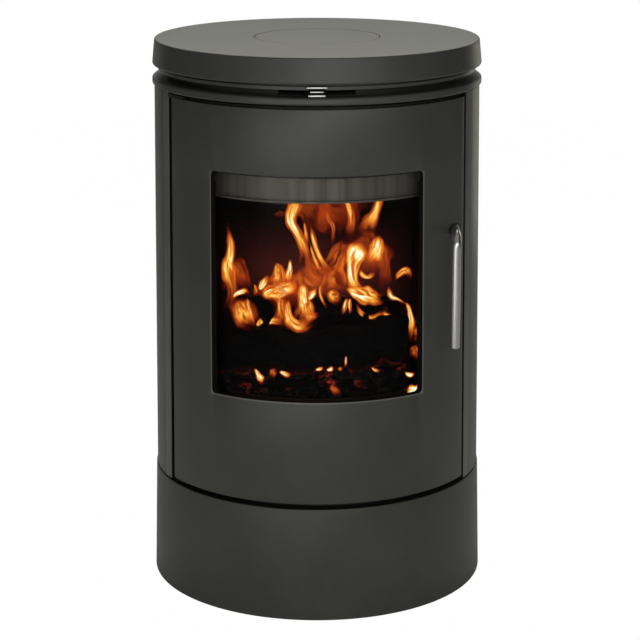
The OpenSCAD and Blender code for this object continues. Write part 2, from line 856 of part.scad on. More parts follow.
// Sprung steel leaf behind the frame that the latch cam hooks
module latch_keeper() {
    leaf_y = cam_y - keeper_gap - keeper_t;
    z0 = handle_z - keeper_h / 2;
    z1 = handle_z + keeper_h / 2;
    color(stainless) {
        block([wall_x, leaf_y, z0], [keeper_x, leaf_y + keeper_t, z1]);
        block([wall_x, leaf_y, z0], [wall_x + keeper_t, leaf_y + keeper_foot, z1]);
    }
}

// ---------------------------------------------------------------- door

// The solid door panel, with no holes
module door_blank() {
    low = door_bottom + door_edge;
    top = door_top - door_edge;
    sweep([[door_inner_r, door_bottom], [body_r(door_bottom) - door_edge, door_bottom], [body_r(low), low],
        [body_r(top), top], [body_r(door_top) - door_edge, door_top], [door_inner_r, door_top]],
        door_left_deg, door_right_deg);
}

// The window's hole
module window_cut(r0, r1) {
    sector(r0, r1, window_bottom, window_top, -window_deg, window_deg);
}

module handle_hole(r) {
    bar_y(r, cam_y, -handle_reach, handle_x, handle_z);
}

module clip_screw_holes(r) {
    tip_r = door_inner_r + screw_entry + screw_tip_gap;
    for (side = [-1, 1], z = clip_zs)
        radial_bar(r, glass_r - glass_t - past, tip_r, side * clip_screw_deg, z);
}

module door_panel() {
    color(iron) difference() {
        door_blank();
        window_cut(door_inner_r - past, body_r_foot + past);
        handle_hole(bush_r + pin_gap);
        clip_screw_holes(screw_r + pin_gap);
        at_hinge() translate([0, 0, door_top - eye_notch]) cylinder(r = eye_r, h = eye_notch + past, $fn = 48);
        at_hinge() translate([0, 0, door_bottom - past]) cylinder(r = eye_r, h = eye_notch + past, $fn = 48);
    }
}

module door_glass() {
    color(glass_tint) sector(glass_r - glass_t, glass_r, window_bottom - glass_lap, window_top + glass_lap,
        -glass_deg, glass_deg);
}

module glass_seal() {
    lap_deg = arc_deg(seal_lap, glass_r);
    color(rope_grey) difference() {
        sector(glass_r, door_inner_r - seal_gap, window_bottom - glass_lap, window_top + glass_lap,
            -glass_deg, glass_deg);
        sector(glass_r - past, door_inner_r + past, window_bottom - seal_lap, window_top + seal_lap,
            -window_deg - lap_deg, window_deg + lap_deg);
    }
}

module glass_clips() {
    clip_r = glass_r - glass_t;
    color(stainless) difference() {
        for (side = [0, 1], z = clip_zs) mirror([side, 0, 0]) {
            sector(clip_r - clip_t, clip_r, z - clip_h / 2, z + clip_h / 2,
                glass_deg - clip_lap_deg, glass_deg + clip_foot_deg);
            sector(clip_r, door_inner_r, z - clip_h / 2, z + clip_h / 2,
                glass_deg + arc_deg(still_gap, clip_r), glass_deg + clip_foot_deg);
        }
        clip_screw_holes(screw_r + pin_gap);
    }
}

module glass_screws() {
    clip_face = glass_r - glass_t - clip_t;
    color(stainless) for (side = [-1, 1], z = clip_zs) {
        radial_bar(screw_r, clip_face, door_inner_r + screw_entry, side * clip_screw_deg, z);
        radial_bar(screw_head_r, clip_face - screw_head_h, clip_face, side * clip_screw_deg, z);
    }
}

module door_rope_seal() {
    r0 = frame_r + slide_gap;
    color(rope_grey) difference() {
        sector(r0, door_inner_r, rope_z, rope_top, -rope_deg, rope_deg);
        sector(r0 - past, door_inner_r + past, rope_z + rope_w, rope_top - rope_w,
            -rope_deg + rope_side_deg, rope_deg - rope_side_deg);
    }
}

module handle_bush() {
    color(dark_steel) difference() {
        intersection() {
            door_blank();
            handle_hole(bush_r);
        }
        handle_hole(handle_r + pin_gap);
    }
}

// ---------------------------------------------------------------- handle

module door_handle() {
    elbow_y = -handle_reach + handle_bend_r;
    color(stainless) {
        bar_y(handle_r, cam_y - still_gap, elbow_y, handle_x, handle_z);
        bar_y(thread_r, cam_y + cam_t + nut_t + thread_past, elbow_y, handle_x, handle_z);
        translate([handle_x, elbow_y, handle_z - handle_bend_r]) rotate([0, -90, 0]) rotate([0, 0, -90])
            rotate_extrude(angle = 90) translate([handle_bend_r, 0]) circle(r = handle_r);
        translate([handle_x, -handle_reach, handle_end_z])
            cylinder(r = handle_r, h = handle_z - handle_bend_r - handle_end_z);
    }
}

// Round-ended arm on the spindle, which points inwards when latched
module latch_cam() {
    tip_x = handle_x - cam_l + cam_h / 2;
    color(stainless) difference() {
        union() {
            bar_y(cam_h / 2, cam_y, cam_y + cam_t, handle_x, handle_z);
            bar_y(cam_h / 2, cam_y, cam_y + cam_t, tip_x, handle_z);
            block([tip_x, cam_y, handle_z - cam_h / 2], [handle_x, cam_y + cam_t, handle_z + cam_h / 2]);
        }
        bar_y(thread_r + pin_gap, cam_y - past, cam_y + cam_t + past, handle_x, handle_z);
    }
}

module spindle_nut() {
    color(stainless) difference() {
        translate([handle_x, cam_y + cam_t + nut_t, handle_z]) rotate([90, 0, 0])
            cylinder(r = nut_r, h = nut_t, $fn = 6);
        bar_y(thread_r + pin_gap, cam_y + cam_t - past, cam_y + cam_t + nut_t + past, handle_x, handle_z);
    }
}

// ---------------------------------------------------------------- riddling grate and ash pan

module riddling_grate() {
    color(dark_steel) difference() {
        block([-riddle_w / 2, -riddle_d / 2, riddle_z], [riddle_w / 2, riddle_d / 2, riddle_z + riddle_t]);
        grate_slots_cut(riddle_w, riddle_d, riddle_z, riddle_z + riddle_t);
        bar_y(rod_r + pin_gap, -riddle_d / 2 + rod_entry, -riddle_d, 0, riddle_z + riddle_t / 2);
    }
}

module riddling_rod() {
    color(stainless) bar_y(rod_r, rod_front_y, -riddle_d / 2 + rod_entry, 0, riddle_z + riddle_t / 2);
}

module ash_pan() {
    color(dark_steel) difference() {
        block([-pan_w / 2, pan_front_y, pan_z], [pan_w / 2, pan_front_y + pan_d, pan_z + pan_h]);
        block([-pan_w / 2 + pan_t, pan_front_y + pan_t, pan_z + pan_t],
            [pan_w / 2 - pan_t, pan_front_y + pan_d - pan_t, pan_z + pan_h + past]);
    }
}

module ash_pan_lip() {
    lip_z = pan_z + pan_h - lip_drop;
    color(dark_steel) block([-lip_w / 2, pan_front_y - lip_d, lip_z - lip_t], [lip_w / 2, pan_front_y, lip_z]);
}

floor_plate();
plinth_shell();
plinth_posts();
base_plate();
base_bolts();
casing_rail();
side_casing_left();
side_casing_right();
rear_casing();
casing_screws();
front_frame();
firebox_wall();
firebox_floor();
firebox_top();
blanking_plate();
rear_flue_spigot();
fire_brick_left();
fire_brick_right();
fire_brick_back();
hearth_brick();
fixed_grate();
grate_hangers();
baffle_plate();
air_wash_deflector();
log_guard();
ash_pan_rails();
body_top_plate();
crown_ring();
neck_ring();
collar_ring();
top_plate();
lower_hinge_pin();
upper_hinge_pin();
latch_keeper();
door_panel();
door_glass();
glass_seal();
glass_clips();
glass_screws();
door_rope_seal();
lower_hinge_eye();
upper_hinge_eye();
handle_bush();
door_handle();
latch_cam();
spindle_nut();
air_slide();
air_tab();
flue_cover();
riddling_grate();
riddling_rod();
ash_pan();
ash_pan_lip();
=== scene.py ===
"""Looks of the round wood stove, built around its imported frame. Units are metres."""
import json
import math
import random
from contextlib import contextmanager

import bmesh
import bpy
from mathutils import Euler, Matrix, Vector


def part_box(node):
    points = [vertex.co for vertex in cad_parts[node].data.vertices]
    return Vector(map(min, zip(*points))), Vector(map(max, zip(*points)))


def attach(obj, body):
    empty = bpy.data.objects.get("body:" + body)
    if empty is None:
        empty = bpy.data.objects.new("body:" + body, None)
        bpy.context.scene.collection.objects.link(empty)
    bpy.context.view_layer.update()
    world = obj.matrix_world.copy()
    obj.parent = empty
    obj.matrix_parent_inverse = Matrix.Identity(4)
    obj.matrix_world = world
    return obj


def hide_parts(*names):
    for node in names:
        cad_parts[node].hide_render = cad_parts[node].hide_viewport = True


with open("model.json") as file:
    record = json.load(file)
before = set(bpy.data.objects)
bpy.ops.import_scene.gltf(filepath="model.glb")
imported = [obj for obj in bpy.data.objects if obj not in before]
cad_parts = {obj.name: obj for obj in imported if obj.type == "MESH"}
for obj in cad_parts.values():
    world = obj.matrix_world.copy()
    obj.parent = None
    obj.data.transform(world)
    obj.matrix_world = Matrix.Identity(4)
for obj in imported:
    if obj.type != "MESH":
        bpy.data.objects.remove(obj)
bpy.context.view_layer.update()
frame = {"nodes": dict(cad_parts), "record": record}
random.seed(7)

MM = 0.001
CENTRE = (0.0, 0.0, 0.0)

# ------------------------------------------------------------------ sizes taken from the frame

DOOR_LOW, DOOR_HIGH = (corner.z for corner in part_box("door_panel"))
CASING_LOW, CASING_HIGH = (corner.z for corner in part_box("side_casing_left"))
GLASS_LOW, GLASS_HIGH = (corner.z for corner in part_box("door_glass"))
PLINTH_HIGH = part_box("plinth_shell")[1].z
PLINTH_FOOT_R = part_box("plinth_shell")[1].x
HEARTH_FOOT, HEARTH = (corner.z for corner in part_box("hearth_brick"))
FLOOR = 0.0

# The radii of the cone that the door and casings follow, and the door's edges
BODY_TOP_R = 226.2 * MM
BODY_FOOT_R = 232.1 * MM
DOOR_INNER_R = 220 * MM
DOOR_LEFT = math.radians(-59.7)
DOOR_RIGHT = math.radians(61.2)
CASING_LEFT = math.radians(-62.8)
CASING_RIGHT = math.radians(62.6)
CASING_REAR = math.radians(150)
PLINTH_TOP_R = 233.5 * MM
PLINTH_T = 3 * MM
CROWN_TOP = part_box("crown_ring")[1].z

# The skins of the door and casings: the door's first wall, the roll of a casing's front edge as
# angle and step inwards, how deep the edge turns in, how far round it is paler as a painted highlight,
# and how far the face of the right casing is painted black as shade beside the door, which makes the gap
# there look wider than it is.
DOOR_FIRST_T = 9 * MM
SKIN_T = 2 * MM
ROLL = ((math.radians(3.0), 0.4 * MM), (math.radians(1.0), 0.6 * MM), (math.radians(0.1), 0.4 * MM))
ROLL_DEEP = 8 * MM
ROLL_ROUND = 1.2 * MM
HIGHLIGHT_EDGE = math.radians(3.8)
GAP_SHADE = math.radians(0.45)

# The window is cut on facet lines, so its half angle is a whole number of facets.
FACETS = 188
FACET = 2 * math.pi / FACETS
WINDOW_FACETS = 40
WINDOW_HALF = WINDOW_FACETS * FACET / 2
WINDOW_LOW = GLASS_LOW + 10 * MM
WINDOW_HIGH = GLASS_HIGH - 10 * MM
WINDOW_CORNER = 6 * MM

# The handle bar
BAR_R = 6.5 * MM
BAR_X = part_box("door_handle")[0].x + BAR_R
BAR_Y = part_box("door_handle")[0].y + BAR_R
BAR_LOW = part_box("door_handle")[0].z
SPINDLE_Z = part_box("door_handle")[1].z - BAR_R
BEND_R = 15 * MM
BAR_CHAMFER = 0.7 * MM
SPINDLE_R = 4 * MM
SPINDLE_END = 11 * MM

# The photo's camera: its place, its turns in radians, its focal length and its picture in pixels
VIEW_PLACE = Vector((0.0, -2.8589, 1.1242))
VIEW_DOWN = 0.26
VIEW_ASIDE = -0.00148
FOCAL_PX = 2056.75
PHOTO_PX = 640


def body_r(z):
    """Radius of the door and casings at a height."""
    return BODY_TOP_R + (DOOR_HIGH - z) * (BODY_FOOT_R - BODY_TOP_R) / (DOOR_HIGH - DOOR_LOW)


def on_circle(r, turn, z=0.0):
    """A point at an angle from the front, positive towards the handle."""
    return Vector((r * math.sin(turn), -r * math.cos(turn), z))


def turn_of(at):
    """The angle of a point from the front, positive towards the handle."""
    return math.atan2(at.x, -at.y)


# ------------------------------------------------------------------ modelling by hand

def only(piece):
    """Selects one piece and nothing else."""
    bpy.ops.object.select_all(action="DESELECT")
    piece.select_set(True)
    bpy.context.view_layer.objects.active = piece


def begin(name, primitive, **settings):
    """Adds a primitive and gives it its name."""
    bpy.ops.object.select_all(action="DESELECT")
    primitive(**settings)
    piece = bpy.context.object
    piece.name = name
    piece.data.name = name
    only(piece)
    bpy.ops.object.transform_apply(location=True, rotation=True, scale=True)
    return piece


@contextmanager
def editing(piece):
    """Opens a piece in edit mode with everything selected."""
    only(piece)
    bpy.ops.object.mode_set(mode="EDIT")
    bpy.ops.mesh.select_all(action="SELECT")
    yield
    bpy.ops.object.mode_set(mode="OBJECT")


def pick(kind, test):
    """Selects the vertices, edges or faces whose middle passes a test, in edit mode."""
    bpy.ops.mesh.select_mode(type=kind)
    bpy.ops.mesh.select_all(action="DESELECT")
    data = bpy.context.object.data
    mesh = bmesh.from_edit_mesh(data)
    mesh.normal_update()
    if kind == "VERT":
        for vert in mesh.verts:
            vert.select_set(test(vert.co))
    elif kind == "EDGE":
        for edge in mesh.edges:
            edge.select_set(test((edge.verts[0].co + edge.verts[1].co) / 2))
    else:
        for face in mesh.faces:
            face.select_set(test(face.calc_center_median(), face.normal))
    mesh.select_flush_mode()
    bmesh.update_edit_mesh(data)


def modify(piece, kind, **settings):
    """Adds a modifier and applies it."""
    only(piece)
    modifier = piece.modifiers.new(kind.title(), kind)
    for key, value in settings.items():
        setattr(modifier, key, value)
    bpy.ops.object.modifier_apply(modifier=modifier.name)


def round_edges(piece, width, segments=3, angle=40):
    """Bevels the edges that turn by more than an angle."""
    modify(piece, "BEVEL", width=width, segments=segments, limit_method="ANGLE",
           angle_limit=math.radians(angle), use_clamp_overlap=True, harden_normals=False)


def join(pieces):
    """Makes one piece of several, which keeps the first one's name."""
    bpy.ops.object.select_all(action="DESELECT")
    for piece in pieces:
        piece.select_set(True)
    bpy.context.view_layer.objects.active = pieces[0]
    bpy.ops.object.join()
    return pieces[0]


def cut(piece, cutter):
    """Takes a cutter out of a piece and deletes the cutter."""
    modify(piece, "BOOLEAN", operation="DIFFERENCE", solver="EXACT", object=cutter)
    bpy.data.objects.remove(cutter)


def done(piece, body, finish, stands_for=(), angle=35):
    """Shades a finished piece, gives it its finish and hangs it on its body."""
    only(piece)
    bpy.ops.object.transform_apply(location=True, rotation=True, scale=True)
    with editing(piece):
        bpy.ops.mesh.remove_doubles(threshold=0.00001)
        bpy.ops.mesh.normals_make_consistent(inside=False)
    bpy.ops.object.shade_smooth_by_angle(angle=math.radians(angle))
    piece.data.materials.clear()
    piece.data.materials.append(finish)
    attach(piece, body)
    if stands_for:
        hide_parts(*stands_for)
    return piece


def curved_sheet(name, start, stop, low, high, rows=()):
    """A curved sheet on the body's cone, cut from a cylinder, with extra rows of points."""
    tilt = WINDOW_HALF - math.pi / 2
    sheet = begin(name, bpy.ops.mesh.primitive_cylinder_add, vertices=FACETS, radius=BODY_TOP_R,
                  depth=high - low, location=(0, 0, (high + low) / 2), rotation=(0, 0, tilt),
                  end_fill_type="NOTHING")
    with editing(sheet):
        for turn, side in ((start, 1), (stop, -1)):
            bpy.ops.mesh.select_all(action="SELECT")
            across = Vector((math.cos(turn), math.sin(turn), 0)) * side
            bpy.ops.mesh.bisect(plane_co=CENTRE, plane_no=across, clear_inner=True)
        for z in rows:
            bpy.ops.mesh.select_all(action="SELECT")
            bpy.ops.mesh.bisect(plane_co=(0, 0, z), plane_no=(0, 0, 1))
        for z in (low, high, *rows):
            pick("VERT", lambda co: abs(co.z - z) < 0.1 * MM)
            grow = body_r(z) / BODY_TOP_R
            bpy.ops.transform.resize(value=(grow, grow, 1), center_override=CENTRE)
    return sheet


# ------------------------------------------------------------------ finishes

class Wire:
    """A socket that can stand in a Python sum; each step of the sum adds a Math node."""

    def __init__(self, finish, socket):
        self.finish = finish
        self.socket = socket

    def math(self, operation, *values):
        node = self.finish.tree.nodes.new("ShaderNodeMath")
        node.operation = operation
        for slot, value in zip(node.inputs, values):
            self.finish.feed(slot, value)
        return Wire(self.finish, node.outputs[0])

    def __add__(self, other):
        return self.math("ADD", self, other)

    def __radd__(self, other):
        return self.math("ADD", other, self)

    def __sub__(self, other):
        return self.math("SUBTRACT", self, other)

    def __rsub__(self, other):
        return self.math("SUBTRACT", other, self)

    def __mul__(self, other):
        return self.math("MULTIPLY", self, other)

    def __rmul__(self, other):
        return self.math("MULTIPLY", other, self)

    def __truediv__(self, other):
        return self.math("DIVIDE", self, other)

    def __pow__(self, other):
        return self.math("POWER", self, other)

    def size(self):
        return self.math("ABSOLUTE", self)

    def wave(self):
        return self.math("SINE", self)

    def least(self, other):
        return self.math("MINIMUM", self, other)

    def most(self, other):
        return self.math("MAXIMUM", self, other)

    def held(self):
        """Kept between 0 and 1."""
        return self.most(0.0).least(1.0)

    def step(self, low, high):
        """0 below low, 1 above high and smooth between them."""
        return self.finish.node("ShaderNodeMapRange", {"interpolation_type": "SMOOTHSTEP"},
                                {"Value": self, "From Min": low, "From Max": high})


class Finish:
    """A material whose nodes are made by one method."""

    def __init__(self, name):
        self.material = bpy.data.materials.new(name)
        self.material.use_nodes = True
        self.tree = self.material.node_tree
        self.tree.nodes.clear()

    def feed(self, slot, value):
        if isinstance(value, Wire):
            self.tree.links.new(value.socket, slot)
        elif isinstance(value, (tuple, list)) and len(value) == 3 and slot.type == "RGBA":
            slot.default_value = (*value, 1.0)
        else:
            slot.default_value = value

    def node(self, kind, settings=None, inputs=None, output=0):
        node = self.tree.nodes.new(kind)
        for key, value in (settings or {}).items():
            if key == "stops":
                self.set_stops(node.color_ramp, value)
            else:
                setattr(node, key, value)
        for key, value in (inputs or {}).items():
            self.feed(node.inputs[key], value)
        return Wire(self, node.outputs[output])

    @staticmethod
    def set_stops(ramp, stops):
        for place, _ in stops[1:-1]:
            ramp.elements.new(place)
        for element, (place, colour) in zip(ramp.elements, stops):
            element.position = place
            element.color = (*colour, 1.0)

    def place(self, scale=(1, 1, 1), turn=(0, 0, 0)):
        """Object coordinates, stretched and turned."""
        spot = self.node("ShaderNodeTexCoord", output="Object")
        return self.node("ShaderNodeMapping", {}, {"Vector": spot, "Scale": scale, "Rotation": turn})

    def noise(self, scale, detail=3.0, spot=None, rough=0.5, warp=0.0):
        return self.node("ShaderNodeTexNoise", {}, {
            "Vector": spot or self.place(), "Scale": scale, "Detail": detail,
            "Roughness": rough, "Distortion": warp})

    def mix(self, share, first, second):
        node = self.tree.nodes.new("ShaderNodeMix")
        node.data_type = "RGBA"
        self.feed(node.inputs["Factor"], share)
        for slot, value in ((node.inputs[6], first), (node.inputs[7], second)):
            self.feed(slot, value)
        return Wire(self, node.outputs[2])

    def ramp(self, value, stops):
        return self.node("ShaderNodeValToRGB", {"stops": stops}, {"Fac": value})

    def axes(self, spot=None):
        """The three parts of a place."""
        node = self.tree.nodes.new("ShaderNodeSeparateXYZ")
        self.feed(node.inputs[0], spot or self.place())
        return [Wire(self, part) for part in node.outputs]

    def bump(self, height, strength, distance):
        return self.node("ShaderNodeBump", {}, {
            "Height": height, "Strength": strength, "Distance": distance})

    def surface(self, **inputs):
        """The Principled shader; an input's name has its spaces written as underscores."""
        named = {key.replace("_", " "): value for key, value in inputs.items()}
        self.output(self.node("ShaderNodeBsdfPrincipled", {}, named))
        return self.material

    def output(self, shader):
        end = self.tree.nodes.new("ShaderNodeOutputMaterial")
        self.tree.links.new(shader.socket, end.inputs["Surface"])


def iron_paint(name, window_highlight=False, lift=1.0):
    """Matt heat-proof paint, made paler by lift as a painted highlight, and where asked with a painted
    highlight along the window's rim.
    """
    paint = Finish(name)
    clouds = paint.noise(9.0, 4.0)
    grain = paint.noise(520.0, 2.0, rough=0.6)
    speck = paint.noise(1400.0, 1.0)
    tone = (clouds * 0.5 + grain * 0.35 + speck * 0.15).step(0.25, 0.75)
    colour = paint.mix(tone, (0.052 * lift, 0.053 * lift, 0.046 * lift),
                       (0.082 * lift, 0.083 * lift, 0.073 * lift))
    if window_highlight:
        x, y, z = paint.axes()
        beside = (x.math("ARCTAN2", x, y * -1.0).size() - WINDOW_HALF) * BODY_FOOT_R
        above, below = z - WINDOW_HIGH, WINDOW_LOW - z
        past = beside.most(below).most(above)
        # A painted highlight: pale paint along the window's sides and foot, not along its top.
        rim_highlight = (1.0 - past.step(1.2 * MM, 2.8 * MM)) * (1.0 - above.step(-2 * MM, 0.0))
        colour = paint.mix(rim_highlight, colour, (0.17, 0.17, 0.155))
    rough = 0.31 + grain * 0.14 + clouds * 0.06
    grit = grain * 0.7 + speck * 0.3
    return paint.surface(Base_Color=colour, Roughness=rough, Specular_IOR_Level=0.5,
                         Normal=paint.bump(grit, 0.35, 0.00035))


def dark_steel():
    """Black paint on the sheet steel behind the door."""
    paint = Finish("dark_steel")
    clouds = paint.noise(14.0, 3.0)
    grain = paint.noise(600.0, 2.0)
    colour = paint.mix(clouds.step(0.3, 0.7), (0.007, 0.007, 0.006), (0.014, 0.014, 0.013))
    return paint.surface(Base_Color=colour, Roughness=0.55 + grain * 0.2,
                         Normal=paint.bump(grain, 0.25, 0.0003))


def cast_grate():
    """Raw grey casting, ashy in patches."""
    iron = Finish("cast_grate")
    pits = iron.noise(260.0, 4.0, rough=0.7)
    ash = iron.noise(60.0, 3.0).step(0.5, 0.72)
    colour = iron.mix(ash, (0.022, 0.020, 0.019), (0.16, 0.15, 0.135))
    return iron.surface(Base_Color=colour, Roughness=0.82, Metallic=0.0,
                        Normal=iron.bump(pits, 0.6, 0.0006))


def fire_brick():
    """Pressed vermiculite, sooty, with dark flakes and a painted red glow of firelight on its fire side."""
    brick = Finish("fire_brick")
    flakes = brick.node("ShaderNodeTexVoronoi", {"feature": "F1"},
                        {"Vector": brick.place(), "Scale": 330.0})
    soot = brick.noise(13.0, 4.0, rough=0.65)
    x, _, z = brick.axes()
    colour = brick.mix(soot.step(0.35, 0.62), (0.0012, 0.0010, 0.0009), (0.0040, 0.0030, 0.0025))
    # heat and glow are painted firelight: red light from the fire painted on the bricks round its middle.
    heat = (0.45 + soot.step(0.3, 0.7) * 0.55) * (1.0 - (z - 0.400).size().step(0.01, 0.11))
    heat = heat * (1.0 - (x - 0.004).size().step(0.055, 0.150))
    glow = brick.mix(heat, (0.0, 0.0, 0.0), (0.052, 0.0080, 0.0055))
    return brick.surface(Base_Color=colour, Roughness=0.95, Specular_IOR_Level=0.1, Emission_Color=glow,
                         Emission_Strength=1.0, Normal=brick.bump(flakes, 0.5, 0.0008))


def heat_steel():
    """Bare steel browned by heat, with rolling marks that run down it and painted shade, black, over its
    upper part.
    """
    steel = Finish("heat_steel")
    streak = steel.noise(70.0, 2.0, spot=steel.place(scale=(1, 1, 0.02)))
    fine = steel.noise(420.0, 2.0, spot=steel.place(scale=(1, 1, 0.03)))
    tone = (streak * 0.75 + fine * 0.25).step(0.3, 0.72)
    _, _, z = steel.axes()
    # Painted shade: the steel is black above about 608 mm.
    unshaded = 0.25 + (1.0 - z.step(607.5 * MM, 609 * MM)) * 0.75
    colour = steel.mix(tone * unshaded, (0.125, 0.115, 0.096), (0.240, 0.220, 0.183))
    colour = steel.mix(unshaded, (0.010, 0.010, 0.009), colour)
    return steel.surface(Base_Color=colour, Metallic=0.55, Roughness=0.48 + fine * 0.15)


def stainless():
    """Brushed stainless bar: fine lines round its section and soft streaks."""
    steel = Finish("stainless")
    lines = steel.noise(1600.0, 2.0, spot=steel.place(scale=(1, 1, 0.06)))
    streak = steel.noise(90.0, 2.0, spot=steel.place(scale=(1, 1, 0.2)))
    colour = steel.mix(streak, (0.62, 0.61, 0.58), (0.76, 0.75, 0.72))
    return steel.surface(Base_Color=colour, Metallic=1.0, Roughness=0.24 + lines * 0.10,
                         Normal=steel.bump(lines, 0.10, 0.0001))


def zinc_steel():
    """Zinc-plated fasteners, pins and clips."""
    zinc = Finish("zinc_steel")
    spangle = zinc.noise(380.0, 3.0)
    colour = zinc.mix(spangle, (0.34, 0.34, 0.32), (0.52, 0.52, 0.50))
    return zinc.surface(Base_Color=colour, Metallic=0.9, Roughness=0.35 + spangle * 0.2)


def ceramic_glass():
    """Clear heat-proof glass, faintly smoked, with its gloss on both faces."""
    glass = Finish("ceramic_glass")
    smoke = glass.noise(11.0, 3.0).step(0.5, 0.8)
    return glass.surface(Base_Color=(0.004, 0.004, 0.004), Roughness=0.02, IOR=1.5,
                         Alpha=0.07 + smoke * 0.02)


def rope_seal():
    """Woven glass rope."""
    rope = Finish("rope_seal")
    x, y, z = rope.axes()
    twist = ((x + y + z) * 900.0).wave() * 0.5 + 0.5
    weave = ((x - y - z) * 900.0).wave() * 0.5 + 0.5
    yarn = twist * 0.5 + weave * 0.5
    colour = rope.mix(yarn, (0.035, 0.034, 0.031), (0.13, 0.125, 0.115))
    return rope.surface(Base_Color=colour, Roughness=0.95, Normal=rope.bump(yarn, 0.8, 0.0008))


def shade_black_steel():
    """Near-black steel, painted shade in the window's cut, the gaps, the tab's back and the small parts."""
    steel = Finish("shade_black_steel")
    patch = steel.noise(60.0, 3.0)
    colour = steel.mix(patch, (0.003, 0.003, 0.003), (0.009, 0.009, 0.008))
    return steel.surface(Base_Color=colour, Roughness=0.8, Specular_IOR_Level=0.15)


def charred_wood():
    """Burnt logs: black cracked char that glows in its cracks near the embers."""
    wood = Finish("charred_wood")
    cracks = wood.node("ShaderNodeTexVoronoi", {"feature": "DISTANCE_TO_EDGE"},
                       {"Vector": wood.place(scale=(0.7, 1, 1)), "Scale": 75.0})
    fibre = wood.noise(160.0, 4.0, spot=wood.place(scale=(0.12, 1, 1)))
    x, _, z = wood.axes()
    colour = wood.mix(fibre.step(0.35, 0.75), (0.0008, 0.0007, 0.0007), (0.0040, 0.0034, 0.0030))
    low = 1.0 - z.step(0.312, 0.335)
    right = x.step(0.125, 0.14)
    hot = (1.0 - cracks.step(0.0, 0.09)) * (low * 0.25 + right).held() * fibre.step(0.42, 0.6)
    glow = wood.mix(hot, (0.0, 0.0, 0.0), (0.55, 0.055, 0.012))
    height = cracks.step(0.0, 0.2) * 0.6 + fibre * 0.4
    return wood.surface(Base_Color=colour, Roughness=0.9, Specular_IOR_Level=0.04,
                        Emission_Color=glow, Emission_Strength=1.0,
                        Normal=wood.bump(height, 0.7, 0.003))


def ember():
    """Charcoal lumps, dark red with orange edges and grey ash."""
    coal = Finish("ember")
    patch = coal.noise(34.0, 3.0)
    fine = coal.noise(170.0, 4.0, rough=0.7)
    heat = (patch * 0.75 + fine * 0.25)
    glow = coal.ramp(heat, [(0.0, (0, 0, 0)), (0.55, (0, 0, 0)), (0.60, (0.05, 0.004, 0.003)),
                            (0.66, (0.30, 0.02, 0.008)), (0.74, (0.95, 0.25, 0.04)),
                            (0.82, (1.0, 0.8, 0.35))])
    colour = coal.mix(fine.step(0.45, 0.7), (0.003, 0.0028, 0.0027), (0.03, 0.028, 0.026))
    return coal.surface(Base_Color=colour, Roughness=0.95, Specular_IOR_Level=0.04,
                        Emission_Color=glow, Emission_Strength=1.0, Normal=coal.bump(fine, 0.8, 0.002))


def flame(name, rim):
    """Fire: brightest along its middle, or along its rims in a thin sheet, torn and clear at its edge."""
    fire = Finish(name)
    across, along, _ = fire.axes(fire.node("ShaderNodeUVMap", {"uv_map": "ribbon"}))
    heat = fire.node("ShaderNodeAttribute", {"attribute_name": "burn_level"}, output="Fac")
    x, _, z = fire.axes()
    drift = x * 14.0 + z * 3.0
    spread = fire.node("ShaderNodeCombineXYZ", {}, {"X": across * 2.2, "Y": along * 1.1, "Z": drift})
    threads = fire.noise(2.4, 3.0, spot=spread, warp=0.8).step(0.28, 0.72)
    sway = fire.noise(24.0, 2.0, spot=fire.place(scale=(1, 1, 0.6)))
    ripple = fire.noise(95.0, 2.0, spot=fire.place(scale=(1, 1, 0.5)))
    side = ((across - 0.5) * 2.0 + (sway - 0.5) * 1.1 + (ripple - 0.5) * 0.45).size()
    tip = (along - threads * 0.08).step(0.0, 0.16)
    foot = (1.0 - along - threads * 0.22).step(0.0, 0.42)
    body = (1.0 - side * side).most(0.0)
    torn = (body * 1.25 - (1.0 - body) * threads * 1.1 - 0.10).held()
    core = (torn ** 1.5) * (0.38 + threads * 1.05) * (0.72 + along * 0.50)
    edge = (1.0 - ((side - 0.62) * 5.0).size()).most(0.0) * (0.3 + threads * 0.7)
    burn = (core * (1.0 - 0.55 * rim) + edge * (0.30 + rim * 0.70)) * tip * foot
    glow = (heat * burn).held()
    colour = fire.ramp(glow, [(0.0, (0.22, 0.012, 0.004)), (0.15, (0.42, 0.036, 0.007)),
                              (0.32, (0.78, 0.125, 0.012)), (0.50, (1.0, 0.30, 0.028)),
                              (0.68, (1.0, 0.54, 0.085)), (0.83, (1.0, 0.80, 0.30)),
                              (0.95, (1.0, 0.97, 0.75))])
    return fire.surface(Base_Color=(0, 0, 0), Roughness=1.0, Specular_IOR_Level=0.0,
                        Alpha=(glow * 1.5).held(), Emission_Color=colour, Emission_Strength=1.15)


def white_ground(name, colour, seen_share, mirrored_share, shade):
    """A ground that the camera and the glass see as white, and polished metal in part."""
    ground = Finish(name)
    ray = ground.tree.nodes.new("ShaderNodeLightPath")
    seen, mirrored, through = (Wire(ground, ray.outputs[kind]) for kind in
                               ("Is Camera Ray", "Is Glossy Ray", "Is Transmission Ray"))
    share = (seen.most(through) * seen_share).most(mirrored * mirrored_share)
    matt = ground.node("ShaderNodeBsdfDiffuse", {}, {"Color": (shade, shade, shade)})
    white = ground.node("ShaderNodeEmission", {}, {"Color": colour, "Strength": 1.0})
    ground.output(ground.node("ShaderNodeMixShader", {}, {0: share, 1: matt, 2: white}))
    return ground.material


iron = iron_paint("iron_paint")
door_iron = iron_paint("door_paint", window_highlight=True)
